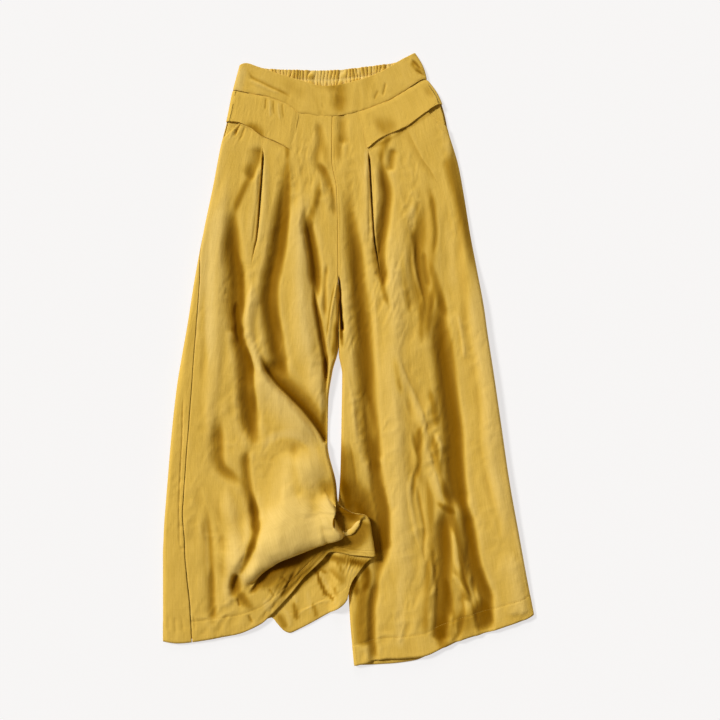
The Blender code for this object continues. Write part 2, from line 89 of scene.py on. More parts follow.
BAND_HEIGHT = 8.0           # upper edge of the front waistband above the surface
BAND_LAP = 1.6              # how far the waistband runs over the top of the legs
BAND_LIFT = 0.3             # how far its lower edge is raised to lie on them
BAND_SIDE_BULGE, BULGE_POWER = 3.5, 6  # how far its left end bulges, and how near the end
BAND_CRINKLE, BAND_SCALE = 0.7, 1.3    # height of its wrinkles, and how much finer than a leg's
BAND_SHADE, BAND_WRINKLE_SHADE = 3.5, 0.12     # depth of a fold painted wholly in shade, and how strongly its wrinkles are painted dark in their dips and light on their crests
BAND_THIN, THIN_FROM, THIN_OVER = 0.5, 0.93, 0.07  # how much, from where and how soon its foot thins
BAND_TOP_LEFT, BAND_TOP_RIGHT = (-180, 489), (110, 509)
BAND_SEED, FLAP_SEED, LOWER_SEED = 71, 60, 13
BACK_RISE = 27.0            # how much higher the back waist seam is at the centre
GATHER_PITCH = 6.4          # mean width of one gather of the elastic
GATHER_HEIGHT = 4.6
GATHER_SHADE, GATHER_POWER = 2.4, 1.6  # painted shade between two gathers, and how fast it goes with height
# painted light on a gather's crest, and the darkest painted shade between two gathers
GATHER_LIGHT, GATHER_DARKEST = 0.4, 1.15
GATHER_DOWN, GATHER_ROUND = 50, 0.7    # length of a gather, and how round its crest is
GATHER_PRESS = 0.45         # how much a row of stitches flattens it
GATHER_SEAM, GATHER_SEAM_WIDTH = 0.33, 0.05    # where that row is, by share down
FLAP_WALL = 1.5             # a flap pressed flat
FLAP_GAP = 0.1              # between a flap and the leg below it
FLAP_CRINKLE, FLAP_SCALE = 0.35, 1.2   # height of its wrinkles, and how much finer than a leg's
FLAP_SINK = -1.2            # the deepest that a fold may press a flap
FLAP_SHADE = 1.6            # depth of a fold painted wholly in shade
FLAP_END, FLAP_END_REACH = 0.2, 0.08   # share of its wall left where it runs out, and how soon
FLAP_SIDE, FLAP_TOP = 0.07, 0.12       # share of w, and of its own depth, over which it rises
RIGHT_FLAP_STAND, LEFT_FLAP_STAND = 0.5, 1.2   # how far a flap's lower edge stands off the leg
POCKET_SINK = 2.7           # pocket facing below the front leg
POCKET_LAP = 0.05           # share of w that the facing runs on under the front leg
POCKET_COLUMNS, POCKET_TURNS = 18, 6   # lines of its grid, on the flat and round the folded edge
RIGHT_MOUTH_W, LEFT_MOUTH_W = 0.3, 0.78        # w beyond which a front makes room for the pocket

# Smooth random waves in the cloth: a spot's size across and down, its slant, its seed and its weight.
Waves = namedtuple("Waves", "across down slant seed weight")
UNEVEN_EDGE = Waves(16, 60, 0, 3, 0.03)        # a fold's edges, as a share of its width
BEND = Waves(30, 45, 0, 4, 5)                  # what bends the wrinkles below, in mm
LONG_WAVES, LONG_SLANT = Waves(30, 120, 0, 0, 0.6), 0.35
SHORT_WAVES = Waves(12, 40, 0.2, 1, 0.4)
SHARP_WAVES = Waves(19, 55, -0.15, 2, 0.45)
SMALL_CREASES = Waves(11, 17, 0.5, 5, 0.5)
CREASED_SPOTS = Waves(45, 60, 0, 6, 1.2)       # where the small creases lie
TINY_WAVES = Waves(4.5, 9, 0, 3, 0.08)
GATHER_LEAN = Waves(9, 1, 0, 8, 3)
GATHER_SHIFT = Waves(13, 1, 0, 5, 1)
GATHER_TWIST = Waves(7, 14, 0, 6, 0.35)
GATHER_VARIETY = Waves(6, 22, 0, 7, 0.34)

MUSTARD = (0.735, 0.484, 0.092)
THREAD = (0.58, 0.37, 0.06)
STITCH = {"Pitch": 0.0034, "Length": 0.0025, "Width": 0.00055}
WARP_COUNT, WEFT_COUNT = 1400, 1250    # threads to the metre
LAY_STEP, LAY_ABOVE, RAY_TOP = 4, 0.1 * MM, 0.2    # points along a row of stitches, in mm, m and m

Sun = namedtuple("Sun", "name side elevation width strength")
SUNS = [Sun("window", (-0.80, 0.60), 40, 12, 3.15), Sun("top_lamp", (0.0, 1.0), 22, 22, 0.6)]
CAMERA = (0.0192, -0.0008, 1.667)
FLOOR_REACH, FLOOR_Z = 3.0, -0.0004


def read_rows(kind, table):
    """Rows of a table whose first line names its columns. Each row begins with a name; a point is x,y."""
    _, body = table.strip().split("\n", 1)
    found = []
    for word in body.split():
        if word[0].isalpha():
            found.append([word])
        elif "," in word:
            found[-1].append(tuple(float(part) for part in word.split(",")))
        else:
            found[-1].append(float(word))
    return [kind(*row) for row in found]


# Cross lines of a leg: both ends in plan, the upper layer's height, the height of its +X edge, how
# far it lies over the other leg, w of the side seam or pocket mouth, and whether the inner edge is closed.
Section = namedtuple(
    "Section", "name v left_x left_y right_x right_y loft_left loft_right right_edge over side closed")
RIGHT_LEG = read_rows(Section, """
    name v left_x left_y right_x right_y loft_left loft_right right_edge over side closed
    waist          0   -191  449   -26  405    8    9  3.4    0  .16 0
    flap_end    .055   -201  398   -27  360 10.3 11.3  3.4    0  .12 0
    pocket_end    .1   -211  358   -27  318 12.8 13.8  3.4    0    0 0
    hip          .18   -225  285   -19  245   14   15  3.4    0    0 0
    seat         .24   -237  228   -18  186   15   15  3.4    0    0 0
    crotch       .29   -246  183 -17.4  138   15   15  3.4    0 .015 0
    upper_thigh  .35   -256  128   -17   88   15   14  3.4    0  .05 1
    thigh        .43 -267.7 53.8 -16.9 21.7   15   13  3.4    0 .073 1
    lower_thigh  .48   -276    8   -27  -20   14   13  3.4    0  .09 1
    above_knee   .54   -285  -47   -34  -70   14   13  3.4    0  .11 1
    knee         .63   -294 -129   -35 -140   14   14  3.4    0 .118 1
    below_knee   .72   -301 -212   -21 -205   13   16  4.5    1 .114 1
    curl_start   .76   -304 -249 -17.4 -235   13   19   13   10 .115 1
    curl_rim     .79   -306 -276     6 -253   13 20.5 16.5 12.5 .118 1
    curl_tip    .815   -307 -299    28 -257   12   22   18   13  .12 1
    curl_side    .84   -308 -322    36 -269   12   23 18.5   13 .122 1
    curl_lower   .88   -308 -359    39 -290   11   24   19   13  .13 1
    above_hem    .93   -308 -405    42 -307  9.4 22.5 17.5 12.5 .142 1
    hem            1   -308 -469    44 -325    5   21   17 12.5  .15 1
""")

LEFT_LEG = read_rows(Section, """
    name v left_x left_y right_x right_y loft_left loft_right right_edge over side closed
    waist         0   -25  405   129  466    9    8 3.4 0 .84 0
    under_flap  .03   -26  378   148  439 10.5  9.5 3.4 0 .84 0
    flap_end    .06   -27  350   158  413 11.5 11.5 3.4 0 .88 0
    pocket_end   .1   -26  314   166  377 13.8 12.8 3.4 0   1 0
    hip         .16   -19  259   182  324   15   14 3.4 0   1 0
    seat        .22   -18  204   192  270   15   15 3.4 0   1 0
    crotch      .29 -16.6  138   202  208   15   15 3.4 0   1 0
    upper_thigh .35 -16.3   85   212  155   14   15 3.4 0   1 1
    thigh       .43 -15.7 11.8 225.2 83.2   13   15 3.4 0   1 1
    lower_thigh .47   -10  -25   230   48   13   15 3.4 0   1 1
    above_knee  .55   -11  -98   241  -24   12   15 3.4 0   1 1
    knee        .65   -13 -189   254 -113  9.5   15 3.4 0   1 1
    below_knee  .75   -19 -281   267 -202  7.5   15 3.4 0   1 1
    shin        .85    -1 -372   283 -291  7.5   14 3.4 0   1 1
    above_hem   .93     4 -445   296 -362    8 11.4 3.4 0   1 1
    hem           1    10 -509   308 -424  7.5  7.5 3.4 0   1 1
""")

RISE_LINE = {"y": (138, 212, 282, 332, 366, 432), "x": (-17, -17.5, -19.5, -27.5, -27.5, -25.5)}

# How far a cross line hangs below the straight line between its two ends, by share u across.
Drop = namedtuple("Drop", "u drop")
RIGHT_WAIST = Drop((0, .2, .34, .45, .54, .6, .67, .77, .84, 1), (0, -2, -4, -2.5, .5, 4, 9, 6.5, 6, 0))
LEFT_WAIST = Drop((0, .07, .23, .4, .57, .73, .86, .95, 1), (0, 3, 8, 10, 10, 6, .5, -2.5, 0))
RIGHT_BACK_WAIST = Drop((0, .5, 1), (0, -10, -BACK_RISE))
LEFT_BACK_WAIST = Drop((0, .5, 1), (-BACK_RISE, -10, 0))
RIGHT_HEM = Drop((0, .07, .13, .27, .38, .46, .5, .6, .67, .75, .79, .83, .89, .95, 1),
                 (0, 13, 20, 32, 39, 37, 31, 8, -12, -27, -34, -30, -18, -8, 0))
RIGHT_BACK_HEM = Drop((0, .17, .36, .465, .51, .54, .574, .605, .645, .754, .841, .873, .884, .917, .96, 1),
                      (0, 19, 35, 33, 34, 49, 66, 73, 72, 67, 61, 52, 32, 18, 5, 0))
LEFT_HEM = Drop((0, .15, .28, .4, .49, .56, .63, .74, .85, .95, 1),
                (0, 2, 11, 16.5, 12, 9, 7, 7.5, 6, 4, 0))
LEFT_BACK_HEM = Drop((0, .13, .28, .35, .42, .49, .56, .74, .95, 1),
                     (0, 9.5, 18.5, 20.5, 17, 10, 7, 6, 2, 0))
BAND_TOP = Drop((0, .03, .1, .19, .32, .5, .66, .81, .92, 1), (0, -2, 5, 16, 30, 45, 40, 27, 10.5, 0))
BAND_BACK_TOP = Drop((0, .03, .12, .28, .57, .75, .89, 1), (0, -2, 6.5, 12.6, 18.4, 16, 13, 0))

# A ridge (+) or valley (-) along a path. left and right are its half widths as one walks the path,
# crisp is 0 for a rounded crest and 1 for a sharp one, ends the shares of the path it fades over.
Fold = namedtuple("Fold", "name height left right crisp path ends")


def fold_row(name, height, left, right, crisp, start, end, *path):
    """Fold from a row of a table: its columns are these, in this order."""
    return Fold(name, height, left, right, crisp, path, (start, end))


RIGHT_FOLDS = read_rows(fold_row, """
    name height left right crisp start end path
    pleat_slit  -10 2.7 2.3 0 .08 .4  -142,349 -141,336 -143,306 -146,266 -149,229 -152,199 -157,176 -161,149
    pleat_left_lip  1.8 3.3 11.7 1 .2 .2  -148,336 -150,306 -153,266 -158,224 -162,182
    pleat_right_lip  1.8 13.3 3.3 0 .2 .2  -136,336 -138,306 -140,266 -144,224 -149,182
    pocket_shade  -4 8.3 23.3 .4 .2 .2  -146,356 -148,332 -154,312 -164,292
    hip_valley  -10.5 21.7 23.3 .1 .4 .08  -174,269 -185,250 -190,223 -190,199 -188,163 -184,125 -184,91
        -182,63 -179,32
    thigh_pit  -4 6.7 8.3 .3 .2 .2  -186,99 -183,62 -181,39 -174,19
    thigh_valley  -11.5 21.7 21.7 .2 .15 .3  -183,62 -178,29 -171,-1 -168,-34 -166,-67 -164,-100 -158,-134
        -161,-161
    shin_valley  -5 11.7 15 .3 .2 .2  -162,-141 -169,-168 -168,-192 -164,-217 -156,-244 -151,-271 -150,-296
    low_valley  -6.5 13.3 15 .3 .25 .08  -163,-214 -156,-242 -153,-268 -153,-293 -161,-319 -171,-338 -181,-354
        -186,-372 -189,-392
    outer_streak  -5.5 16.7 20 .1 .3 .4  -211,-88 -215,-121 -215,-153 -210,-176 -194,-191 -178,-204 -164,-221
    outer_low_streak  -3 11.7 15 .1 .3 .05  -234,-226 -232,-276 -229,-328 -226,-384 -222,-434
    outer_ridge  3.5 16.7 20 0 .2 .2  -198,316 -208,249 -214,182 -216,99 -219,16 -226,-68 -232,-151
    low_ridge  3.5 16.7 20 0 .2 .2  -204,-201 -194,-259 -188,-318 -196,-376 -204,-426
    left_fall  -5 15 10 .3 .08 0  -221,349 -229,312 -241,266 -251,216 -259,166 -269,99 -279,32 -289,-34
        -298,-101 -306,-168 -312,-234 -316,-301 -316,-401 -314,-484
    thigh_ridge  6 15 10 .4 .2 .2  -158,132 -162,91 -168,58 -166,32 -156,4 -141,-22 -124,-41
    knee_ridge  9 10 46.7 .2 .2 .3  -154,-4 -138,-36 -118,-58 -99,-78 -79,-101 -62,-122 -49,-148
    centre_crease  -4 8.3 3.3 .3 .3 .1  -131,-24 -112,-45 -91,-67 -68,-90 -49,-114 -36,-141
    centre_valley  -11 20 20 .2 .35 .1  -102,346 -104,315 -107,282 -111,248 -114,215 -119,181 -125,151
        -130,127 -132,99 -128,67 -123,37 -118,11 -111,-12 -98,-33
    centre_low  -11.5 35 5 .4 .2 .05  -144,12 -139,-11 -121,-36 -98,-61 -71,-88 -51,-114 -36,-142
    centre_ridge  5 23.3 26.7 0 .2 .2  -66,299 -81,191 -76,99 -66,16 -46,-51 -28,-101
    hollow_by_rise  -2.8 11.7 11.7 0 .2 .2  -51,399 -46,366 -52,332 -46,302
    rise_valley  -4 8.3 15 .1 .2 .2  -51,329 -39,312 -29,289 -21,259 -18,229
    inner_crease  -8 5 8.3 .5 .25 .2  -58,126 -54,94 -49,66 -44,38 -39,12 -36,-14 -35,-42
    inner_valley  -12 15 15 .3 .3 .3  -72,255 -69,225 -61,192 -56,163 -54,136 -52,109 -52,91
    inner_nick  -3 6.7 6.7 0 .2 .2  -34,162 -39,124 -39,91 -38,66
    inseam_line  1.6 2.2 2.2 .5 .1 .1  -18,132 -22,108 -27,82 -30,58 -33,32 -32,16
    edge_shade  -5 5 10 0 .2 .2  -32,16 -36,-21 -37,-59 -37,-101 -38,-138
    bulge  12 56.7 60 0 .2 .2  -58,-142 -76,-192 -96,-242 -119,-289 -146,-338
    bulge_dip  -2 13.3 13.3 0 .2 .2  -89,-134 -88,-176 -82,-234
    dimple  -3 11.7 2.5 0 .2 .2  -44,-268 -41,-288 -36,-306
    hem_valley_outer  -1.5 8.3 10 0 .3 .1  -226,-334 -226,-384 -226,-446
    pit_by_roll  -5 8.3 8.3 .1 .2 .2  -184,-351 -189,-366 -192,-382 -191,-398
    nick_by_roll  -2.4 3.3 3.3 0 .2 .2  -184,-395 -180,-411
    roll_hollow  -4 6.7 8.3 .1 .25 .3  -166,-391 -152,-379 -139,-366 -121,-352
    under_roll_1  -2.2 3.3 3.3 0 .2 .2  -112,-358 -101,-371 -108,-381
    under_roll_2  -1.8 3.3 3.3 0 .2 .2  -131,-379 -122,-394
    under_roll_3  -2.2 3.3 5 0 .2 .2  -166,-422 -158,-439
    under_roll_4  -2.5 6.7 8.3 0 .2 .2  -88,-351 -98,-376 -114,-398
    hem_press  -2.5 16.7 13.3 0 .25 .1  -151,-444 -114,-406 -88,-378 -64,-352 -44,-334 -21,-322
    roll  16 70 23.3 0 .18 .02  -182,-378 -171,-358 -156,-336 -134,-312 -98,-298 -61,-284 -32,-276 -14,-269
    curl_shoulder  7 3.5 50 .3 .4 .02  -21,-204 -19,-239 -20,-262 -16,-280 -8,-290
    curl_rim  5 11.7 9 .3 .2 .1  -4,-284 6,-280 14,-270 20,-260 27,-254
    seam_allowance  -1.6 2.2 2.2 0 .1 .1  -273,-59 -275,-138 -278,-189 -280,-249 -278,-321
    side_pucker_1  -1.2 5 5 0 .3 .3  -281,-198 -271,-201
    side_pucker_2  -1.2 5 5 0 .3 .3  -281,-274 -269,-278
    side_pucker_3  -1.2 5 5 0 .3 .3  -279,-311 -268,-314
    pocket_crumple  -2.4 2.5 4.2 0 .1 .3  -178,391 -184,379 -188,366
    pocket_crumple_ridge  1.4 3.3 3.3 .4 .1 .3  -186,389 -191,378 -196,364
    pocket_crumple_low  -1.4 3.3 3.3 0 .2 .3  -171,386 -176,372 -184,359
    hem_pucker_1  -1.3 2.7 3.3 0 .3 .2  -298,-421 -299,-451
    hem_pucker_2  -1.3 2.7 3.3 0 .3 .2  -288,-424 -286,-456
    hem_pucker_3  -1.1 2.7 3.3 0 .3 .2  -276,-422 -274,-454
    hem_pucker_4  -1.2 2.7 3.3 0 .3 .2  -256,-421 -254,-452
""")

LEFT_FOLDS = read_rows(fold_row, """
    name height left right crisp start end path
    pleat_slit  -10 3 2.7 0 .08 .35  33,346 35,329 37,294 39,261 41,229 43,199 48,169 54,132
    pleat_left_lip  2.2 3.3 13.3 1 .2 .2  28,332 30,294 31,258 31,224 32,191
    pleat_right_lip  1.5 10 3.3 0 .2 .2  42,324 45,294 46,258 47,224
    pleat_valley  -9 15 15 .3 .3 .12  52,352 59,302 64,269 61,241 56,208 52,174 56,146 64,116
    orange_valley  -11 21.7 23.3 .2 .35 .08  -3,319 0,282 3,249 7,208 13,163 17,119 22,74 27,29 30,-18 32,-59
        36,-109 42,-159 48,-198
    orange_low_valley  -8.5 16.7 16.7 .4 .1 .25  42,-159 52,-218 61,-259 61,-298 52,-338 42,-376
    orange_hem_valley  -6 10 11.7 .3 .25 0  54,-348 44,-384 39,-421 39,-459 41,-484 44,-508
    curl_shade  -4 13.3 63.3 .9 .3 .2  36,-171 49,-218 59,-268 56,-314 46,-344
    inseam_slit  -13 1.7 7.5 0 .1 .02  -15,138 -12,108 -10,79 -8,54 -8,48
    waist_hollow  -2.8 15 11.7 0 .2 .2  -9,412 -11,386 -6,352
    flap_hollow  -3.5 11.7 10 0 .2 .2  76,352 71,332 68,308
    mottle_base  -5.5 23.3 28.3 .1 .35 .3  128,286 121,236 118,182 121,132 128,82 139,41
    mottle_1  -2 6.7 10 .2 .2 .2  112,224 114,191 116,149 121,116 126,86
    mottle_2  -1.4 6.7 8.3 .2 .2 .2  136,279 142,241 146,208 139,169
    mottle_3  -2 5 8.3 .2 .2 .2  126,182 129,146 136,116
    mottle_ridge  1.2 5 6.7 .5 .2 .2  99,229 106,182 112,141 122,99 126,66
    mottle_line  1.4 3.3 5 1 .2 .2  111,208 108,162 116,124 129,82
    side_valley  -12 21.7 26.7 .2 .3 .1  148,139 150,99 153,41 159,0 164,-42 169,-83 174,-125 176,-167
        179,-204 185,-237 190,-260
    side_lower_valley  -11 16.7 20 .3 .25 .06  182,-214 191,-242 198,-271 202,-301 206,-334 218,-368 229,-398
        229,-431 222,-461
    side_low_valley  -9 16.7 20 .2 .2 .05  165,-231 159,-285 158,-334 157,-367 160,-401 156,-434 154,-471
    hem_shade_1  -3 5 15 .3 .2 .1  146,-376 148,-409 149,-442 159,-481
    hem_shade_2  -2.5 5 13.3 .3 .2 .1  189,-381 192,-414 186,-448 176,-476
    hem_shade_3  -3 5 10 .3 .2 .2  209,-354 208,-384 214,-411 212,-448
    hem_shade_4  -3.5 5 11.7 .3 .2 .2  162,-359 166,-388 158,-411 164,-442
    side_ridge  5 30 16.7 0 .2 .2  189,249 194,182 201,116 214,32 229,-59 234,-151 251,-234 262,-318
    hem_right_ridge  4 15 33.3 0 .3 .1  266,-309 278,-359 286,-401 291,-428
    side_fall  -8 6.7 20 .3 .12 .3  172,366 184,332 192,291 201,241 209,191 218,141 228,91
    side_crease  2.2 6.7 2.7 1 .2 .2  179,79 184,56 189,29 192,-4
    bag_line  -1.2 2.5 15 0 .2 .2  94,389 101,372 111,351 122,331 136,311 148,291
    diagonal_ridge  2.6 5 15 .5 .2 .2  81,21 89,-14 101,-44 114,-72 124,-101 131,-138 138,-172 149,-212
        158,-246 158,-262
    lens_1  -2 6.7 6.7 0 .2 .2  106,-114 112,-142 118,-171 109,-201 108,-234
    lens_2  -1.5 5 6.7 0 .2 .2  126,-118 134,-148 142,-171 138,-198
    lens_3  -2 5 5 0 .2 .2  114,-204 119,-242 126,-284 124,-318 129,-342
    lens_4  2 5 6.7 .6 .2 .2  109,-181 102,-218 109,-268 119,-314
    lens_5  1.6 5 5 .6 .2 .2  141,-118 154,-146 149,-174
    low_streak  3 5 10 .8 .2 .2  166,-268 176,-301 182,-334 192,-371 202,-404
    low_fan_1  -2 5 6.7 0 .2 .2  179,-309 189,-354 204,-401 216,-442
    low_fan_2  -2 6.7 6.7 0 .2 .2  139,-301 142,-342 149,-384 152,-434
    hem_mottle_ridge_1  2 5 6.7 .6 .2 .2  171,-351 189,-376 206,-402
    hem_mottle_ridge_2  1.6 5 5 .6 .2 .2  172,-416 168,-441 162,-468
    hem_mottle_ridge_3  1.3 4.2 4.2 .6 .2 .2  179,-428 178,-442 178,-458
    front_ridge  5 26.7 30 0 .2 .2  86,266 82,166 79,66 78,-34 79,-134 86,-234 92,-334 98,-434
    left_wrinkle_2  1 3.3 5 .8 .2 .2  -2,-21 6,-59 11,-101 14,-142
    left_wrinkle_3  -1 3.3 4.2 0 .2 .2  2,-134 9,-176 14,-218
""")

# What shows of the back leg's inner face above its hem: seam allowances, creases, the end of the inseam.
# Rising rows lift the cloth and are painted lighter; sinking rows only paint shade, since this layer only
# rises from the surface.
BACK_FOLDS = read_rows(fold_row, """
    name height left right crisp start end path
    dark_notch  -7 4.5 4.5 .2 .1 .1  -59,-346 -52,-356 -47,-371 -41,-384 -36,-395
    notch_end  -3.5 4.5 4.5 .2 .2 .2  -34,-388 -28,-396 -20,-398
    corner_dark  -3.5 7 7 0 .2 .2  -2,-331 12,-336 27,-342
    under_curl  -1.8 18 15 0 .3 .3  -38,-346 -18,-360 0,-372
    facet_1  -2 4 4 .2 .2 .3  -19,-332 -12,-346 -6,-356
    facet_2  -2.5 6 5 .2 .3 .3  -52,-344 -44,-352 -34,-356
    facet_3  -2 4 5 .2 .3 .3  -26,-372 -19,-388 -16,-400
    hem_dark_1  -3.2 8 8 0 .3 .2  -92,-400 -88,-415 -86,-436
    hem_dark_2  -2.2 6 6 0 .3 .2  -62,-402 -56,-416 -52,-432
    hem_dark_3  -2 10 10 0 .3 .2  -120,-420 -110,-436 -104,-450
    allowance_edge  1.6 3 4 .7 .1 .1  -57,-350 -50,-364 -43,-379 -36,-394
    allowance_other_edge  1.6 4 3 .7 .1 .1  -47,-350 -44,-362 -37,-373 -29,-386
    inseam_end  1.4 2.5 2.5 .5 .1 .1  -25,-390 -20,-402 -17,-412
    inseam_end_2  1.4 2.5 2.5 .5 .1 .1  -20,-386 -15,-398 -11,-408
    corner_crease  1.8 4 4 .5 .2 .2  -6,-338 4,-348 11,-358
    hem_crease_1  1.5 4 4 .4 .2 .2  -90,-391 -87,-405 -86,-420
    hem_crease_2  1.2 4 5 .3 .3 .1  -70,-380 -66,-398 -62,-424
    hem_crease_3  1.6 6 6 .2 .3 .3  -34,-350 -24,-362 -12,-372
    hem_crease_4  1.4 4 5 .3 .3 .1  -110,-412 -100,-426 -96,-446
    hem_stitches  .8 2 2 .3 .1 .1  -98,-440 -79,-421 -64,-412 -44,-403 -33,-401 -18,-394 -6,-388
""")

BAND_FOLDS = read_rows(fold_row, """
    name height left right crisp start end path
    left_crumple  -1.8 4 5 0 .2 .2  -168,480 -158,467 -144,460 -125,450 -108,443 -93,434
    left_crumple_ridge  1 4 4 .5 .2 .2  -172,466 -150,456 -128,447 -110,440
    centre_hollow  -1.5 19 18 0 .2 .5  -14,466 -14,440 -12,400
    right_nick  -1.6 2.5 3 0 .2 .2  62,460 60,448 56,436
    right_nick_small  -1.2 2.5 3 0 .2 .2  50,447 46,438 42,431
    end_crumple_1  -1.8 3 4 0 .2 .2  104,497 112,492 121,480
    end_crumple_2  -1.5 2.5 3 0 .2 .2  110,480 118,476 128,470
    end_crumple_3  1.2 2.5 3 .5 .2 .2  108,488 117,482 126,474
""")

RIGHT_FLAP_FOLDS = read_rows(fold_row, """
    name height left right crisp start end path
    gather_1  -.9 2 2.5 0 .2 .2  -136,435 -137,424 -138,412
    gather_2  -.7 2.5 3 0 .2 .2  -124,432 -124,418 -122,404
    gather_3  -.6 3 3 0 .2 .2  -110,426 -109,412 -107,398
    gather_4  .8 3 3 0 .2 .2  -130,432 -130,415 -129,400
    gather_5  .6 3 3 0 .2 .2  -116,428 -116,412 -113,396
    soft_hollow  -1.9 24 24 0 .4 .4  -176,392 -158,372 -140,352
""")

LEFT_FLAP_FOLDS = read_rows(fold_row, """
    name height left right crisp start end path
    hollow  -.7 24 28 0 .4 .4  82,398 66,384 50,366
    hollow_low  -.4 12 14 0 .5 .5  38,410 50,392 62,374
    end_hollow  -.5 10 10 0 .5 .5  124,458 134,442 142,428
""")

# Painted shade: places that the cloth beside or above them keeps in shade, painted darker (painted light
# where negative): here height is how deep the painted shade is.
RIGHT_SHADES = read_rows(fold_row, """
    name height left right crisp start end path
    curl_inner_pool  1.1 11 11 0 .3 .3  -6,-274 6,-278 18,-264 26,-254
    hip_top  .9 9 10 0 .3 .3  -162,306 -172,282 -182,261 -189,239
    knee_side  .8 12 4 0 .3 .2  -109,-52 -84,-74 -61,-99 -44,-128
    bulge_body  .35 50 50 0 .3 .3  -72,-171 -84,-226 -106,-276 -128,-318
    roll_end_pool  2.2 10 10 0 .35 .3  -61,-304 -44,-301 -29,-294 -16,-282
    neck_pool  .5 20 16 0 .4 .3  -51,-184 -41,-211 -29,-239
    shin_side_low  1 10 9 0 .3 .2  -134,-248 -141,-276 -149,-301 -159,-322
    under_roll_wide  .8 30 30 0 .3 .3  -144,-384 -114,-368 -81,-351 -51,-334
    hip_inner_side  .8 8 8 0 .3 .2  -188,191 -179,149 -176,108 -176,66
    thigh_inner_side  .9 8 9 0 .2 .3  -172,28 -162,-4 -158,-34 -156,-68 -156,-104
    centre_inner_side  .8 10 10 0 .2 .2  -101,366 -99,308 -101,249 -106,199 -112,158 -119,116 -118,74 -109,32
        -104,-11
    shin_side  1.3 10 9 0 .25 .15  -142,-256 -151,-288 -161,-312 -171,-336 -181,-358
    rise_pool  .8 9 10 0 .3 .3  -46,302 -52,266 -61,232 -62,202
    front_outer_light  -1.1 13 13 0 .2 .3  -198,272 -214,244 -222,199 -228,149 -228,99 -226,32 -226,-31
    front_inner_light  -.9 9 10 0 .2 .2  -81,242 -78,182 -79,132 -76,82 -69,32 -62,-11
    knee_arc_light  -.8 11 11 0 .3 .3  -144,-168 -131,-134 -98,-122 -64,-139 -48,-188
    knee_edge_light  -.7 8 8 0 .4 .4  -44,-48 -42,-92
    hem_light  -.6 10 10 0 .4 .4  -141,-391 -126,-424
    low_outer_light  -.5 6 6 0 .3 .3  -236,-259 -234,-318 -232,-371
    hem_corner_light  -.5 16 16 0 .3 .2  -284,-376 -264,-442
    under_roll  1.8 10 18 0 .2 .1  -164,-391 -150,-376 -133,-357 -112,-343 -82,-331 -52,-318 -26,-306
    roll_underside  1.9 15 7 0 .3 .1  -162,-376 -144,-352 -128,-338 -106,-326 -80,-315 -54,-303 -31,-294
        -14,-288
    by_roll  1 9 10 0 .3 .3  -158,-255 -157,-285 -163,-312 -172,-335
    neck_side  .6 6 16 0 .3 .3  -22,-170 -22,-205 -20,-240 -18,-268
    curl_face  1.1 20 22 0 .1 .2  28,-264 24,-286 6,-302 -18,-309 -40,-316
    curl_mouth  1.9 16 18 0 .3 .3  -16,-240 -2,-252 12,-262
    curl_top  1.8 14 18 0 .3 .2  -30,-226 -8,-238 12,-250 28,-260
    outer_light  -.7 12 13 0 .2 .3  -228,210 -230,130 -229,50 -226,-30
    inner_light  -.25 14 12 0 .3 .3  -68,110 -66,50 -62,5
    centre_light  -.2 26 24 0 .3 .3  -88,110 -86,50 -76,-10
    centre_end  .7 12 6 0 .3 .1  -80,-80 -62,-97 -46,-120 -38,-140
    bulge_side  .6 26 24 0 .3 .2  -87,-144 -84,-194 -60,-238 -30,-252
    beside_crotch  1.4 6 8 0 .3 .3  -20,72 -20,40 -23,18 -28,-4
    inner_edge  1.7 6 6 0 .3 .3  -36,14 -37,-12 -38,-40
    outer_edge_light  -1.1 20 20 0 .2 .05  -217,266 -239,166 -261,66 -281,-67 -294,-234 -302,-434
    pit_low  1 14 14 0 .4 .5  -190,-372 -182,-388 -168,-404 -150,-420
    inseam_left  .9 2.2 2.2 0 .2 .2  -22,130 -27,104 -31,80 -34,56 -37,30
    curl_neck  .4 6 14 0 .4 .2  -19,-240 -20,-262 -14,-282
    by_flap_corner  .6 7 7 0 .3 .4  -101,366 -101,346 -102,326
    rise_top  .35 12 12 0 .3 .3  -39,370 -37,330 -36,290
    pocket_part  .4 14 15 0 .3 .3  -170,330 -162,306 -160,280
""")

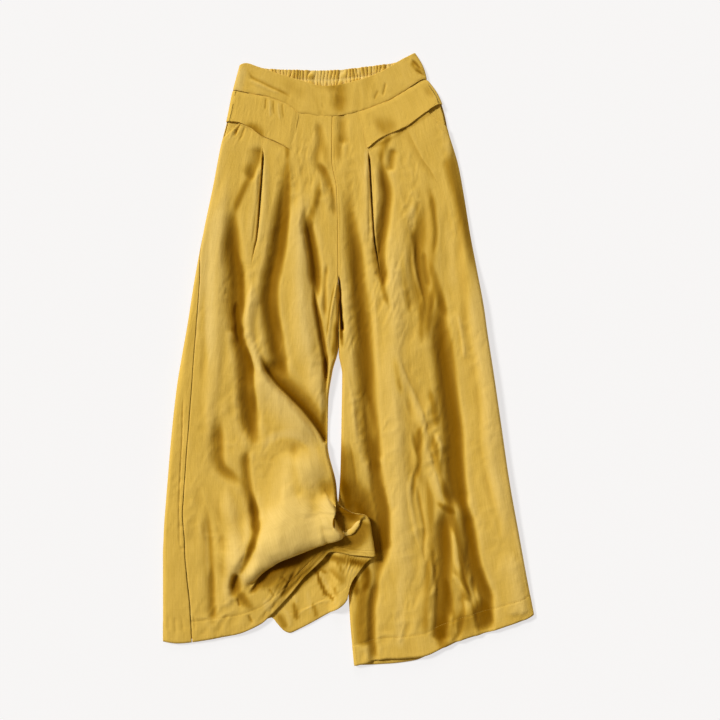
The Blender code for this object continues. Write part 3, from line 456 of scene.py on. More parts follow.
LEFT_SHADES = read_rows(fold_row, """
    name height left right crisp start end path
    back_hem_shadow  1.3 8 9 0 .3 .3  6,-352 12,-372 12,-396
    pool_cross  1.1 9 9 0 .3 .3  144,-232 161,-246 181,-256
    shin_outer_pool  .8 9 9 0 .3 .3  138,-121 148,-161 154,-204
    pool_diagonal  1.3 10 10 0 .2 .15  149,-178 159,-214 169,-244 179,-284 188,-334 196,-381 201,-411
    below_pool_outer  .8 8 8 0 .3 .3  142,132 138,99 132,62 129,22
    knee_outer_pool  .8 9 9 0 .3 .3  132,-41 141,-76 148,-121
    curl_corner_pool  1.7 10 10 0 .3 .3  28,-339 32,-362 24,-388
    side_shadow  .6 12 12 0 .15 .15  164,86 172,16 179,-51 184,-118 188,-184 196,-251 209,-309 226,-368
        238,-412
    side_top_shadow  .9 11 12 0 .3 .2  134,169 142,136 152,102 164,66
    below_pool  .7 10 10 0 .3 .3  126,108 121,66 121,19
    beside_curl_edge  1 10 10 0 .2 .2  2,-229 21,-252 31,-284 31,-321 26,-354 14,-379
    crotch_end  .9 5 5 0 .3 .3  -12,56 -11,36 -9,16
    flap_end_pool  .7 10 10 0 .3 .3  71,379 59,352 52,322
    pleat_end_pool  .9 8 8 0 .3 .3  52,146 59,114 68,82
    inner_low_pool  .7 12 12 0 .2 .1  126,-184 136,-234 138,-301 132,-384 128,-468
    low_crease_pool  .8 10 10 0 .3 .2  176,-334 188,-368 202,-406
    orange_light  -.8 10 12 0 .3 .3  24,-48 34,-92 46,-151
    pool_light  -.7 10 11 0 .3 .3  102,262 106,236 104,202
    pleat_side_light  -.6 7 7 0 .3 .3  29,356 31,324 32,289
    crotch_light  -.7 5 5 0 .4 .4  -18,119 -19,91
    front_light  -.5 12 12 0 .3 .1  89,-334 86,-401 86,-484
    beside_curl_high  1.3 34 20 0 .4 .3  -14,-120 -11,-165 -6,-205 2,-240
    beside_curl  1.5 42 46 0 .4 .06  -8,-190 8,-230 24,-268 38,-302 46,-326
    crotch_slit  1.6 4 4 0 .4 .1  -15,105 -13,85 -12,66 -11,30
    below_curl  1.1 20 20 0 .3 .1  22,-352 26,-376 24,-400 22,-430 26,-480
    beside_back_hem  1.1 7 8 0 .2 .3  12,-352 8,-368 2,-384 -1,-400
    mid_pool  .9 16 17 0 .3 .1  166,-242 169,-301 169,-367 172,-434
    hip_outer_pool  .7 11 12 0 .3 .2  126,299 139,257 141,207 139,162 136,132
    hip_inner_pool  .6 8 9 0 .3 .3  87,186 91,141 97,99 104,62
    thigh_pool  .5 9 9 0 .3 .3  72,12 81,-26 87,-67
    knee_inner_pool  .6 10 10 0 .3 .3  116,-87 121,-134 117,-176 126,-217
    outer_edge_light  -1.2 18 18 0 .2 .1  216,166 231,82 247,-17 266,-134 286,-267 307,-401
    hem_pool  .9 22 44 .2 .15 .1  140,-446 177,-434 211,-421 238,-408
    hem_dark  .8 14 13 0 .3 .05  146,-434 154,-462 160,-484
    knee_pool  .2 26 34 0 .2 .3  130,50 142,0 146,-60 146,-110 150,-160 154,-215
    front_dark  .4 9 10 0 .3 .3  79,16 84,-34 92,-66
    knee_low  .6 9 9 0 .3 .3  119,-108 112,-160
    hip_pool  .15 24 30 0 .3 .3  100,280 104,230 108,180 112,130
    hip_light  -.3 12 14 0 .3 .3  160,250 166,200 172,140 180,90
    outer_fall  .9 16 15 0 .1 .3  162,349 171,299 184,249 192,199 196,149 199,99 193,55
    rise_top  .45 11 11 0 .3 .3  -17,382 -17,350 -19,320
    under_flap  .35 5 5 0 .1 .1  32,350 60,360 96,382 130,404 148,420
""")

# Painted shade on the right leg's inner face above its hem.
BACK_SHADES = read_rows(fold_row, """
    name height left right crisp start end path
    inside_curl  .5 30 30 0 .2 .3  -16,-250 0,-272 14,-284
    curl_face  .75 28 30 0 .1 .2  34,-262 26,-292 4,-308 -20,-318
    below_curl_edge  1.1 7 11 0 .1 .05  -44,-326 -20,-328 8,-334 36,-336
    under_hem  .9 9 12 0 .1 .2  -118,-402 -98,-388 -74,-366 -54,-346 -24,-330
""")

# Painted shade and painted light on the front waistband.
BAND_SHADES = read_rows(fold_row, """
    name height left right crisp start end path
    left_end_light  -.9 14 14 0 .2 .2  -174,489 -182,458 -189,424
    centre  .15 28 26 0 .3 .5  -14,468 -13,440 -12,405
    top_middle  .35 12 14 0 .3 .3  -56,466 -34,456 -16,446
    left_part  .15 18 16 0 .3 .3  -110,470 -90,450 -60,436
    centre_low  .25 24 24 0 .4 .3  -15,446 -14,420 -13,402
    right_end  .7 8 10 0 .2 .2  104,496 112,486 124,474
""")

# Painted shadow where no light reaches, down to near black: here height is 1 for the darkest.
RIGHT_SLITS = read_rows(fold_row, """
    name height left right crisp start end path
    roll_shadow  .45 9 9 0 .3 .3  -150,-370 -130,-356 -106,-344 -81,-334 -56,-324
    knee_crease  .4 5 4 0 .4 .1  -130,-25 -112,-45 -90,-67 -67,-90 -49,-114 -36,-141
    pleat  .8 3.2 3.2 0 .1 .5  -142,345 -143,306 -147,266 -152,216
    inner_crease  .5 4 4 0 .4 .3  -53,105 -44,60 -36,15 -31,-12
""")

LEFT_SLITS = read_rows(fold_row, """
    name height left right crisp start end path
    pleat  .8 3.2 3.2 0 .1 .5  33,344 36,306 38,261 40,220
    crotch  1.1 4.5 4.5 0 .6 .04  -16.4,130 -14,99 -12,72.5 -10.8,46
    by_curl  .4 14 12 0 .5 .2  -12,-180 -8,-215 -3,-245 5,-256
""")

# A fold whose upper layer hangs over the layer below it, on the right as one walks the path. reach is
# how wide it hangs over at the start, the middle and the end of the path.
Tuck = namedtuple("Tuck", "name reach strength path ends")


def tuck_row(name, at_start, midway, at_end, strength, start, end, *path):
    """Tuck from a row of a table: its columns are these, in this order."""
    return Tuck(name, (at_start, midway, at_end), strength, path, (start, end))


RIGHT_TUCKS = read_rows(tuck_row, """
    name at_start midway at_end strength start end path
    roll  11 11 6 2.3 .35 .08  -173,-396 -166,-389 -153,-375 -143,-361 -133,-349 -112,-331 -76,-317.5
        -43,-304.5 -18,-296 -7,-291 6,-287 15,-277 22,-266 28,-257
    curl_shoulder  5 5 5 1.7 .1 .5  -20,-287 -21,-262 -19,-245 -18,-230 -20,-215
""")

# Where the cloth is creased more than elsewhere: middle and reach of each patch.
Patch = namedtuple("Patch", "name x y reach_x reach_y strength")
RIGHT_PATCHES = read_rows(Patch, """
    name x y reach_x reach_y strength
    thigh      -190   60 40 120  .4
    shin       -215 -330 60 130  .7
    rise        -60  300 40  70  .6
    below_roll -100 -390 90  60 1.2
""")
LEFT_PATCHES = read_rows(Patch, """
    name x y reach_x reach_y strength
    hip         125  190 45  90 1.5
    below_pleat  60   90 40  80  .6
    knee        118 -160 40 120 1.3
    hem         175 -400 60  80 2.2
    inner_edge   10  -60 30 150  .9
    hem_corner   40 -470 60  60  .5
""")

FlapEdge = namedtuple("FlapEdge", "w v end")
RIGHT_FLAP = FlapEdge((0, .1, .22, .35, .5, .634), (.056, .054, .059, .071, .075, .079), (.667, .634))
LEFT_FLAP = FlapEdge((.312, .43, .54, .67, .76, .87, 1), (.073, .062, .059, .058, .053, .049, .045),
                     (.271, .312))

# Spans of a grid's lines: where each starts and ends, and the step between lines.
Span = namedtuple("Span", "start end step")
RIGHT_FRONT_W = (Span(0, .36, .0078), Span(.36, .41, .004), Span(.41, .86, .0074), Span(.86, .97, .006),
                 Span(.97, 1, .003))
LEFT_FRONT_W = (Span(0, .03, .003), Span(.03, .26, .0078), Span(.26, .335, .004), Span(.335, .97, .0078),
                Span(.97, 1, .004))
RIGHT_ROWS = (Span(0, .012, .002), Span(.012, .12, .0028), Span(.12, .775, .0037), Span(.775, .955, .0023),
              Span(.955, .97, .002), Span(.97, 1, .004))
LEFT_ROWS = (Span(0, .012, .002), Span(.012, .12, .0028), Span(.12, .955, .0032), Span(.955, .97, .002),
             Span(.97, 1, .004))
RIGHT_BACK_W = (Span(1, 1.03, .003), Span(1.03, 1.6, .0105), Span(1.6, OUTER_TURN, .03),
                Span(OUTER_TURN, 2, .003))
RIGHT_WRAP = (Span(0, 1, .04),)
LEFT_BACK_W = (Span(1, 1.03, .004), Span(1.03, 1.97, .016), Span(1.97, 2, .003))
BAND_W = (Span(0, .03, .004), Span(.03, .97, .0075), Span(.97, 1, .004))
BAND_ROWS = (Span(0, .06, .015), Span(.06, .94, .045), Span(.94, 1, .015))
FLAP_W = (Span(0, .03, .005), Span(.03, .97, .011), Span(.97, 1, .005))
FLAP_ROWS = (Span(0, .05, .0125), Span(.05, .95, .025), Span(.95, 1, .0125))
POCKET_ROWS = (Span(.002, .09, .003),)

# What each piece is: the solid it stands for, its flat size and area in metres, how it lies and on what.
Cut = namedtuple("Cut", "node flat held rests_on area", defaults=(None,))
CUTS = {
    "right_leg_front": Cut("front_right_leg", (0.34, 0.98), "laid", "back_right_leg", 0.27),
    "left_leg_front": Cut("front_left_leg", (0.32, 0.95), "laid", "back_left_leg", 0.27),
    "right_leg_back": Cut("back_right_leg", (0.40, 0.98), "laid", "floor", 0.32),
    "left_leg_back": Cut("back_left_leg", (0.34, 0.96), "laid", "floor", 0.26),
    "waistband_front": Cut("front_waistband", (0.32, 0.052), "laid", "back_waistband"),
    "waistband_back": Cut("back_waistband", (0.34, 0.058), "gathered", "floor"),
    "right_hip_flap": Cut("hip_flap_right", (0.12, 0.066), "laid", "front_right_leg"),
    "left_hip_flap": Cut("hip_flap_left", (0.13, 0.06), "laid", "front_left_leg"),
    "right_pocket_facing": Cut("pocket_facing_right", (0.038, 0.078), "laid", "back_right_leg"),
    "left_pocket_facing": Cut("pocket_facing_left", (0.038, 0.078), "laid", "back_left_leg"),
}

# Rows of stitches that show on the outside: on which piece, and the path of each.
Row = namedtuple("Row", "name piece path")
STITCH_ROWS = [
    Row("right_side_seam", "right_leg_front", ((-273, -59), (-275, -138), (-277, -189), (-279, -249),
        (-278, -321), (-276, -380), (-272, -440))),
    Row("right_pleat", "right_leg_front", ((-142, 371), (-142, 349))),
    Row("left_pleat", "left_leg_front", ((31.5, 351), (32.5, 341))),
    Row("rise", "left_leg_front", ((-22, 398), (-23, 366), (-23, 332), (-16, 282), (-14, 212), (-13.5, 150))),
    Row("right_inseam", "right_leg_front", ((-17, 136), (-21.5, 111), (-27, 79), (-31.5, 56), (-34, 32),
        (-35, 22))),
    Row("left_inseam", "left_leg_front", ((0, -400), (2, -426), (8, -465), (12, -483), (14, -506))),
    Row("left_pocket_mouth", "left_leg_front", ((133, 405), (145, 393), (155, 381), (165, 372))),
    Row("left_bag", "left_leg_front", ((98, 385), (110, 352), (122, 331), (136, 311), (145, 294))),
    Row("band_tack_1", "waistband_front", ((-174, 455), (-174, 445))),
    Row("band_tack_2", "waistband_front", ((-168, 458), (-168, 447))),
    Row("right_flap_edge", "right_hip_flap", ((-196, 401), (-182, 388), (-160, 378), (-130, 363),
        (-104, 354))),
    Row("left_flap_edge", "left_hip_flap", ((38, 357), (66, 371), (100, 389), (132, 412), (147, 426))),
]


def spread(spans):
    """Lines of a grid through one span after another."""
    lines = [np.linspace(s.start, s.end, round((s.end - s.start) / s.step) + 1)[:-1] for s in spans]
    return np.concatenate(lines + [[spans[-1].end]])


def through(xs, ys, x):
    """Smooth curve through the rows of a table, with no overshoot between them."""
    xs, ys, x = np.asarray(xs, float), np.asarray(ys, float), np.asarray(x, float)
    step = np.diff(xs)
    slope = np.diff(ys) / step
    before, after = slope[:-1], slope[1:]
    total = np.where(before * after > 0, before + after, 1)
    inner = np.where(before * after > 0, 2 * before * after / total, 0)
    tangent = np.concatenate(([slope[0]], inner, [slope[-1]]))
    i = np.clip(np.searchsorted(xs, x) - 1, 0, len(step) - 1)
    t = np.clip((x - xs[i]) / step[i], 0, 1)
    return ((1 + 2 * t) * (1 - t) ** 2 * ys[i] + t * (1 - t) ** 2 * step[i] * tangent[i]
            + t * t * (3 - 2 * t) * ys[i + 1] - t * t * (1 - t) * step[i] * tangent[i + 1])


def ease(t):
    t = np.clip(t, 0, 1)
    return t * t * (3 - 2 * t)


def unit(vectors):
    return vectors / np.linalg.norm(vectors, axis=-1, keepdims=True)


def path_points(path, count=28):
    """Points along a smooth curve through a fold's path."""
    path = np.array(path, float)
    run = np.concatenate(([0], np.cumsum(np.hypot(*np.diff(path, axis=0).T))))
    at = np.linspace(0, run[-1], count)
    return np.column_stack([through(run, path[:, 0], at), through(run, path[:, 1], at)])


def beside(x, y, points):
    """Distance of plan points from a path, positive on its left, and the share of the path they are at."""
    start, span = points[:-1], np.diff(points, axis=0)
    length = np.hypot(span[:, 0], span[:, 1])
    dx = x[..., None] - start[:, 0]
    dy = y[..., None] - start[:, 1]
    t = np.clip((dx * span[:, 0] + dy * span[:, 1]) / length ** 2, 0, 1)
    off_x, off_y = dx - t * span[:, 0], dy - t * span[:, 1]
    distance = np.hypot(off_x, off_y)
    nearest = distance.argmin(-1)[..., None]
    side = np.take_along_axis(span[:, 0] * off_y - span[:, 1] * off_x, nearest, -1)[..., 0]
    along = np.take_along_axis(t, nearest, -1)[..., 0] + nearest[..., 0]
    return np.where(side > 0, 1, -1) * distance.min(-1), along / len(span)


def fade(share, ends):
    """1 along a path, falling to 0 over the share of it given for each end."""
    start = ease(share / ends[0]) if ends[0] else 1.0
    end = ease((1 - share) / ends[1]) if ends[1] else 1.0
    return start * end


def fold_height(x, y, fold):
    """Height that one fold adds at plan points; it narrows to half its width as it fades."""
    distance, share = beside(x, y, path_points(fold.path))
    distance = distance + UNEVEN_EDGE.weight * (fold.left + fold.right) * wander(x, y, UNEVEN_EDGE)
    drawn = fade(share, fold.ends)
    half = np.where(distance > 0, fold.left, fold.right) * (0.5 + 0.5 * drawn)
    t = np.clip(np.abs(distance) / half, 0, 1)
    across = (1 - fold.crisp) * ease(1 - t) + fold.crisp * (1 - t)
    return fold.height * across * drawn


def near(x, y, path, reach):
    """Which plan points are within reach of the box about a path."""
    path = np.array(path)
    return ((x > path[:, 0].min() - reach) & (x < path[:, 0].max() + reach)
            & (y > path[:, 1].min() - reach) & (y < path[:, 1].max() + reach))


def folded(grid, folds):
    """Height that all the folds of a piece add at the points of a grid."""
    x, y = grid[..., 0], grid[..., 1]
    height = np.zeros(x.shape)
    for fold in folds:
        touched = near(x, y, fold.path, max(fold.left, fold.right))
        height[touched] += fold_height(x[touched], y[touched], fold)
    return height


def tucked(x, y, tucks):
    """Plan points moved so that each tuck's upper layer hangs over its lower one."""
    x, y = x.copy(), y.copy()
    for tuck in tucks:
        touched = near(x, y, tuck.path, TUCK_REACH * max(tuck.reach))
        points = path_points(tuck.path, TUCK_POINTS)
        distance, share = beside(x[touched], y[touched], points)
        ahead = unit(np.gradient(points, axis=0))
        stations = np.linspace(0, 1, len(points))
        out_x = np.interp(share, stations, ahead[:, 1])
        out_y = -np.interp(share, stations, ahead[:, 0])
        reach = np.interp(share, TUCK_PLACES, tuck.reach)
        across = -distance + reach / 2
        pull = tuck.strength * fade(share, tuck.ends) * across * np.exp(-0.5 * (across / reach) ** 2)
        x[touched] -= out_x * pull
        y[touched] -= out_y * pull
    return x, y


def wander(x, y, waves, seed=0):
    """Smooth random values from -1 to 1, in spots of the size and slant of these waves."""
    table = np.random.RandomState(seed + waves.seed).uniform(-1, 1, (WANDER_CELLS, WANDER_CELLS))
    gx, gy = (x + waves.slant * y) / waves.across + WANDER_X, y / waves.down + WANDER_Y
    ix, iy = np.floor(gx).astype(int), np.floor(gy).astype(int)
    fx, fy = ease(gx - ix), ease(gy - iy)

    def corner(i, j):
        return table[(ix + i) % WANDER_CELLS, (iy + j) % WANDER_CELLS]

    low = corner(0, 0) * (1 - fx) + corner(1, 0) * fx
    high = corner(0, 1) * (1 - fx) + corner(1, 1) * fx
    return low * (1 - fy) + high * fy


def crinkle(across, down, seed):
    """Small wrinkles of linen that run mostly down the leg."""
    bent = across + BEND.weight * wander(across, down, BEND, seed)
    long_waves = wander(bent, down + LONG_SLANT * across, LONG_WAVES, seed)
    short_waves = wander(bent, down, SHORT_WAVES, seed)
    sharp = 1 - 2 * np.abs(wander(bent, down, SHARP_WAVES, seed))
    creases = 1 - 2 * np.abs(wander(bent, down, SMALL_CREASES, seed))
    spots = ease(0.5 + CREASED_SPOTS.weight * wander(across, down, CREASED_SPOTS, seed))
    tiny = wander(across, down, TINY_WAVES, seed)
    return (LONG_WAVES.weight * long_waves + SHORT_WAVES.weight * short_waves + SHARP_WAVES.weight * sharp
            + SMALL_CREASES.weight * spots * creases + TINY_WAVES.weight * tiny)


def creased(x, y, patches):
    """How much more creased the cloth is at plan points."""
    more = np.zeros(x.shape)
    for patch in patches:
        off = ((x - patch.x) / patch.reach_x) ** 2 + ((y - patch.y) / patch.reach_y) ** 2
        more += patch.strength * np.exp(-off)
    return more


def rest_on(height, floor):
    """Keep a height above a floor, rounding where the two meet."""
    return 0.5 * (height + floor + np.sqrt((height - floor) ** 2 + SPACE_BLEND))


class Leg:
    """One leg of the culottes as a closed tube, open at the waist and the hem."""

    def __init__(self, inner, sections, folds, tucks, patches, front_lines, back_lines, lean, seed):
        self.inner = inner
        self.columns = {key: [getattr(s, key) for s in sections] for key in Section._fields[1:]}
        self.folds, self.tucks, self.patches = folds, tucks, patches
        self.lines = {"front": front_lines, "back": back_lines}
        self.lean, self.seed = lean, seed

    def at(self, key, v):
        return through(self.columns["v"], self.columns[key], v)

    def chart(self, w, v):
        return np.stack([w * LEG_ACROSS, v * LEG_DOWN], -1)

    def wrinkles(self, u, v, shift=0, scale=1):
        """Wrinkles that stay the same for the same share u across and v down the leg."""
        return crinkle(u * LEG_ACROSS * scale, v * LEG_DOWN * scale, self.seed + shift)

    def plan(self, u, v, layer):
        """Plan position of share u along the cross line at v, and that line's length."""
        left_x, left_y = self.at("left_x", v), self.at("left_y", v)
        right_x, right_y = self.at("right_x", v), self.at("right_y", v)
        rise_y = left_y if self.inner == "left" else right_y
        rise_x = through(RISE_LINE["y"], RISE_LINE["x"], np.clip(rise_y, CROTCH_Y, None))
        above = rise_y > CROTCH_Y
        if self.inner == "left":
            left_x = np.where(above, rise_x + RISE_GAP / 2, left_x)
        else:
            right_x = np.where(above, rise_x - RISE_GAP / 2, right_x)
        waist, hem = self.lines[layer]
        x = left_x + (right_x - left_x) * u
        y = left_y + (right_y - left_y) * u
        y = y - through(waist.u, waist.drop, u) * (1 - v) ** WAIST_FADE
        y = y - through(hem.u, hem.drop, u) * v ** HEM_FADE
        return x, y, np.hypot(right_x - left_x, right_y - left_y)

    def relief(self, x, y, u, v):
        """Folds and wrinkles of the upper layer."""
        small = self.wrinkles(u, v) * ease(v / EVEN_WAIST)
        small = small * (BASE_CREASE + creased(x, y, self.patches))
        small = small * ease(u / EVEN_SIDE) * ease((1 - u) / EVEN_SIDE)
        return folded(np.stack([x, y], -1), self.folds) + small

    def rumple(self, x, y, u, v):
        """Gentle creases of the lower layer, which only rise from the surface it lies on."""
        waves = self.wrinkles(u, v, LOWER_SEED)
        folds = folded(np.stack([x, y], -1), BACK_FOLDS) if self.inner == "right" else 0
        low = LOWER_CREASE + LIFTED_CREASE * self.at("over", v) / LIFT * (self.inner == "right")
        return (low * np.maximum(waves + LOWER_BIAS, 0) + np.maximum(folds, 0)) * ease(v / EVEN_SIDE)

    def turned(self, share, v):
        """Share u across in plan for a share round the cloth, and how far each folded edge has fallen."""
        left_turn = np.clip(share / TURN, 0, 1) * np.pi / 2
        right_turn = np.clip((1 - share) / TURN, 0, 1) * np.pi / 2
        middle = np.clip((share - TURN) / (1 - 2 * TURN), 0, 1)
        climb = ease((self.at("right_edge", v) - EDGE_HEIGHT) / CURL_CLIMB)
        _, _, width = self.plan(share, v, "front")
        left_r, right_r = TURN_RADIUS / width, (TURN_RADIUS + (CURL_RADIUS - TURN_RADIUS) * climb) / width
        u = (left_r * (1 - np.cos(left_turn)) + right_r * np.cos(right_turn)
             + middle * (1 - left_r - right_r))
        return u, 1 - np.sin(left_turn), 1 - np.sin(right_turn)

    def point(self, w, v, wall=CLOTH, calm=False, dip=0.0):
        """Middle of the cloth at (w, v): the upper layer up to w = 1, the lower one after it."""
        w, v = np.broadcast_arrays(np.asarray(w, float), np.asarray(v, float))
        upper = (w >= 0) & (w <= 1) | (w > 2) & (self.inner == "right")
        share = np.where(w > 2, w - 2, np.where(w > 1, 2 - w, np.abs(w)))
        closed, edge = ease(self.at("closed", v)), self.at("right_edge", v)
        left_closed = closed if self.inner == "left" else 1.0
        right_closed = closed if self.inner == "right" else 1.0
        u, left_fall, right_fall = self.turned(share, v)
        front_x, front_y, _ = self.plan(u, v, "front")
        back_x, back_y, _ = self.plan(u, v, "back")
        x, y = np.where(upper, front_x, back_x), np.where(upper, front_y, back_y)
        lower_z = wall / 2 + self.at("over", v) * ease((x - LIFT_START) / LIFT_WIDTH)
        loft = self.at("loft_left", v) + (self.at("loft_right", v) - self.at("loft_left", v)) * u ** self.lean
        loft = loft + (0 if calm else self.relief(x, y, u, v)) - dip
        loft = rest_on(loft, lower_z + DOUBLE + SEAM_GAP)
        upper_z = (loft - left_closed * (loft - EDGE_HEIGHT) * left_fall
                   - right_closed * (loft - edge) * right_fall)
        lower_z = lower_z + (0 if calm else self.rumple(x, y, u, v))
        under_z = (lower_z + left_closed * (EDGE_HEIGHT - lower_z) * left_fall
                   + right_closed * (edge - lower_z) * right_fall)
        if self.tucks and not calm:
            over_x, over_y = tucked(x, y, self.tucks)
            x, y = np.where(upper, over_x, x), np.where(upper, over_y, y)
        return np.stack([x, y, np.where(upper, upper_z, under_z)], -1)

    def outward(self, w, v, wall=CLOTH, calm=False):
        """Outward direction of the cloth at (w, v), kept on its own layer at the open edges."""
        last = 2.0 + (self.inner == "right")
        low_w = np.maximum(w - NUDGE, np.where(w > 1, 1 + 1e-6, 0))
        high_w = np.minimum(w + NUDGE, np.where(w > 1, last, 1))
        low_v, high_v = np.maximum(v - NUDGE, 0), np.minimum(v + NUDGE, 1)
        across = self.point(high_w, v, wall, calm) - self.point(low_w, v, wall, calm)
        down = self.point(w, high_v, wall, calm) - self.point(w, low_v, wall, calm)
        return unit(np.cross(down, across))


RIGHT = Leg("right", RIGHT_LEG, RIGHT_FOLDS, RIGHT_TUCKS, RIGHT_PATCHES, (RIGHT_WAIST, RIGHT_HEM),
            (RIGHT_BACK_WAIST, RIGHT_BACK_HEM), lean=3, seed=11)
LEFT = Leg("left", LEFT_LEG, LEFT_FOLDS, [], LEFT_PATCHES, (LEFT_WAIST, LEFT_HEM),
           (LEFT_BACK_WAIST, LEFT_BACK_HEM), lean=1, seed=31)


def blur(values, cells):
    """Running mean over a grid, twice each way, with its edges repeated."""
    for axis, reach in enumerate(cells):
        kernel = np.full(2 * reach + 1, 1 / (2 * reach + 1))
        margin = [(reach, reach) if other == axis else (0, 0) for other in (0, 1)]
        for _ in range(2):
            padded = np.pad(values, margin, mode="edge")
            values = np.apply_along_axis(np.convolve, axis, padded, kernel, mode="valid")
    return values


def paint_shading(grid, flat, folds, shades, slits, inside):
    """Shade and light to paint at each point, from how deep it lies below the cloth around it and from the
    folds and shade tables: 1 for painted shade in a valley, -1 for a painted highlight on a ridge, more for
    painted near-black shadow in a slit.
    """
    height = grid[..., 2]
    forms = 0
    for cells, depth, weight in (SMALL_FORMS, LARGE_FORMS):
        forms = forms + weight * ((blur(height, cells) - height) / depth)
    # Every fold is painted darker in its valley and lighter on its ridge.
    deep = -folded(flat, folds) / VALLEY_DEPTH
    open_part = np.tanh((forms + deep) * inside + folded(flat, shades))
    return open_part + (SLIT_DEPTH - open_part) * np.clip(folded(flat, slits), 0, 1)


def add_object(name, data):
    made = bpy.data.objects.new(name, data)
    bpy.context.collection.objects.link(made)
    return made


def wall_faces(rows, columns):
    """Four-sided faces round a wall: its upper face, its lower one and the rim between them."""
    index = np.arange(rows * columns).reshape(rows, columns)
    under = index + rows * columns
    top = np.stack([index[:-1, :-1], index[1:, :-1], index[1:, 1:], index[:-1, 1:]], -1)
    bottom = np.stack([under[:-1, :-1], under[:-1, 1:], under[1:, 1:], under[1:, :-1]], -1)
    rim = np.concatenate([index[:, 0], index[-1, 1:], index[-2::-1, -1], index[0, -2:0:-1]])
    after = np.roll(rim, -1)
    sides = np.stack([after, rim, rim + rows * columns, after + rows * columns], -1)
    return np.concatenate([top.reshape(-1, 4), bottom.reshape(-1, 4), sides])


def quad_mesh(name, points, faces):
    mesh = bpy.data.meshes.new(name)
    mesh.vertices.add(len(points))
    mesh.vertices.foreach_set("co", (points * MM).astype(np.float32).ravel())
    mesh.loops.add(faces.size)
    mesh.loops.foreach_set("vertex_index", faces.ravel().astype(np.int32))
    mesh.polygons.add(len(faces))
    mesh.polygons.foreach_set("loop_start", np.arange(0, faces.size, 4, dtype=np.int32))
    mesh.polygons.foreach_set("loop_total", np.full(len(faces), 4, dtype=np.int32))
    mesh.update(calc_edges=True)
    return mesh


def shell(name, grid, wall, chart, finish, hollow=0.0, outward=None):
    """A closed wall of cloth about the points of a grid, with rounded edges."""
    if outward is None:
        outward = unit(np.cross(np.gradient(grid, axis=0), np.gradient(grid, axis=1)))
    shape = grid.shape[:2]
    half = np.broadcast_to(wall, shape).copy() / 2
    for edge in (half[0], half[-1], half[:, 0], half[:, -1]):
        edge *= RIM
    reach = outward * half[..., None]
    points = np.concatenate([(grid + reach).reshape(-1, 3), (grid - reach).reshape(-1, 3)])
    faces = wall_faces(*shape)
    mesh = quad_mesh(name, points, faces)
    flat = np.tile(np.asarray(chart, float).reshape(-1, 2), (2, 1)) * MM
    mesh.uv_layers.new(name="weave").data.foreach_set("uv", flat[faces.ravel()].astype(np.float32).ravel())
    # Painted shading: as given on the outer face, with its sign turned on the inner one.
    depth = np.broadcast_to(hollow, shape).ravel()
    depths = np.concatenate([depth, -depth]).astype(np.float32)
    mesh.attributes.new("hollow", "FLOAT", "POINT").data.foreach_set("value", depths)
    mesh.materials.append(finish)
    mesh.shade_smooth()
    mesh.validate()
    return add_object(name, mesh)


def link(tree, start, end):
    tree.links.new(start, end)


def fill(made, values):
    """Set constant values on a node's own sockets."""
    for name, value in values.items():
        made.inputs[name].default_value = value


def node(tree, kind, inputs=(), **settings):
    made = tree.nodes.new(kind)
    for key, value in settings.items():
        setattr(made, key, value)
    fill(made, dict(inputs))
    return made


def material(name, values):
    """A new material, its tree, and its shader with constant values on it."""
    made = bpy.data.materials.new(name)
    made.use_nodes = True
    shader = made.node_tree.nodes["Principled BSDF"]
    fill(shader, values)
    return made, made.node_tree, shader


def math(tree, operation, first, second=None):
    made = node(tree, "ShaderNodeMath", operation=operation)
    made.inputs[2].default_value = 0.5
    for socket, value in zip(made.inputs, (first, second)):
        if value is None:
            continue
        if isinstance(value, (int, float)):
            socket.default_value = value
        else:
            link(tree, value, socket)
    return made.outputs[0]


def mixed(tree, *parts):
    """Sum of sockets, each by its own weight."""
    total = None
    for socket, weight in parts:
        part = math(tree, "MULTIPLY", socket, weight)
        total = part if total is None else math(tree, "ADD", total, part)
    return total


def ramp(tree, value, stops):
    """Colour for a value, from stops that each have a place and a colour."""
    made = node(tree, "ShaderNodeValToRGB")
    elements = made.color_ramp.elements
    for element, (place, colour) in zip(elements, (stops[0], stops[-1])):
        element.position, element.color = place, (*colour, 1)
    for place, colour in stops[1:-1]:
        elements.new(place).color = (*colour, 1)
    link(tree, value, made.inputs[0])
    return made.outputs[0]


def scaled(colour, by):
    return [c * s for c, s in zip(colour, by)]


def streaks(tree, chart, across, down, detail=2.0):
    """Noise stretched along the cloth: how many spots there are to the metre each way."""
    stretch = node(tree, "ShaderNodeMapping", {"Scale": (across, down, 1)})
    link(tree, chart, stretch.inputs["Vector"])
    noise = node(tree, "ShaderNodeTexNoise", {"Scale": 1.0, "Detail": detail})
    link(tree, stretch.outputs[0], noise.inputs["Vector"])
    return noise.outputs["Fac"]


def bumped(tree, shader, height, values):
    bump = node(tree, "ShaderNodeBump", values)
    link(tree, height, bump.inputs["Height"])
    link(tree, bump.outputs[0], shader.inputs["Normal"])


# Painted shading by each point's painted-shading value: a painted highlight on a ridge, flat cloth, painted
# shade on a slope and in a valley, and painted near-black shadow in a slit.
PAINTED_SHADING_STOPS = ((0.0, (1.06, 1.15, 1.85)), (0.4, (0.97, 0.965, 0.95)), (0.6, (0.64, 0.55, 0.28)),
                (0.8, (0.27, 0.17, 0.0)), (1.0, (0.05, 0.012, 0.0)))


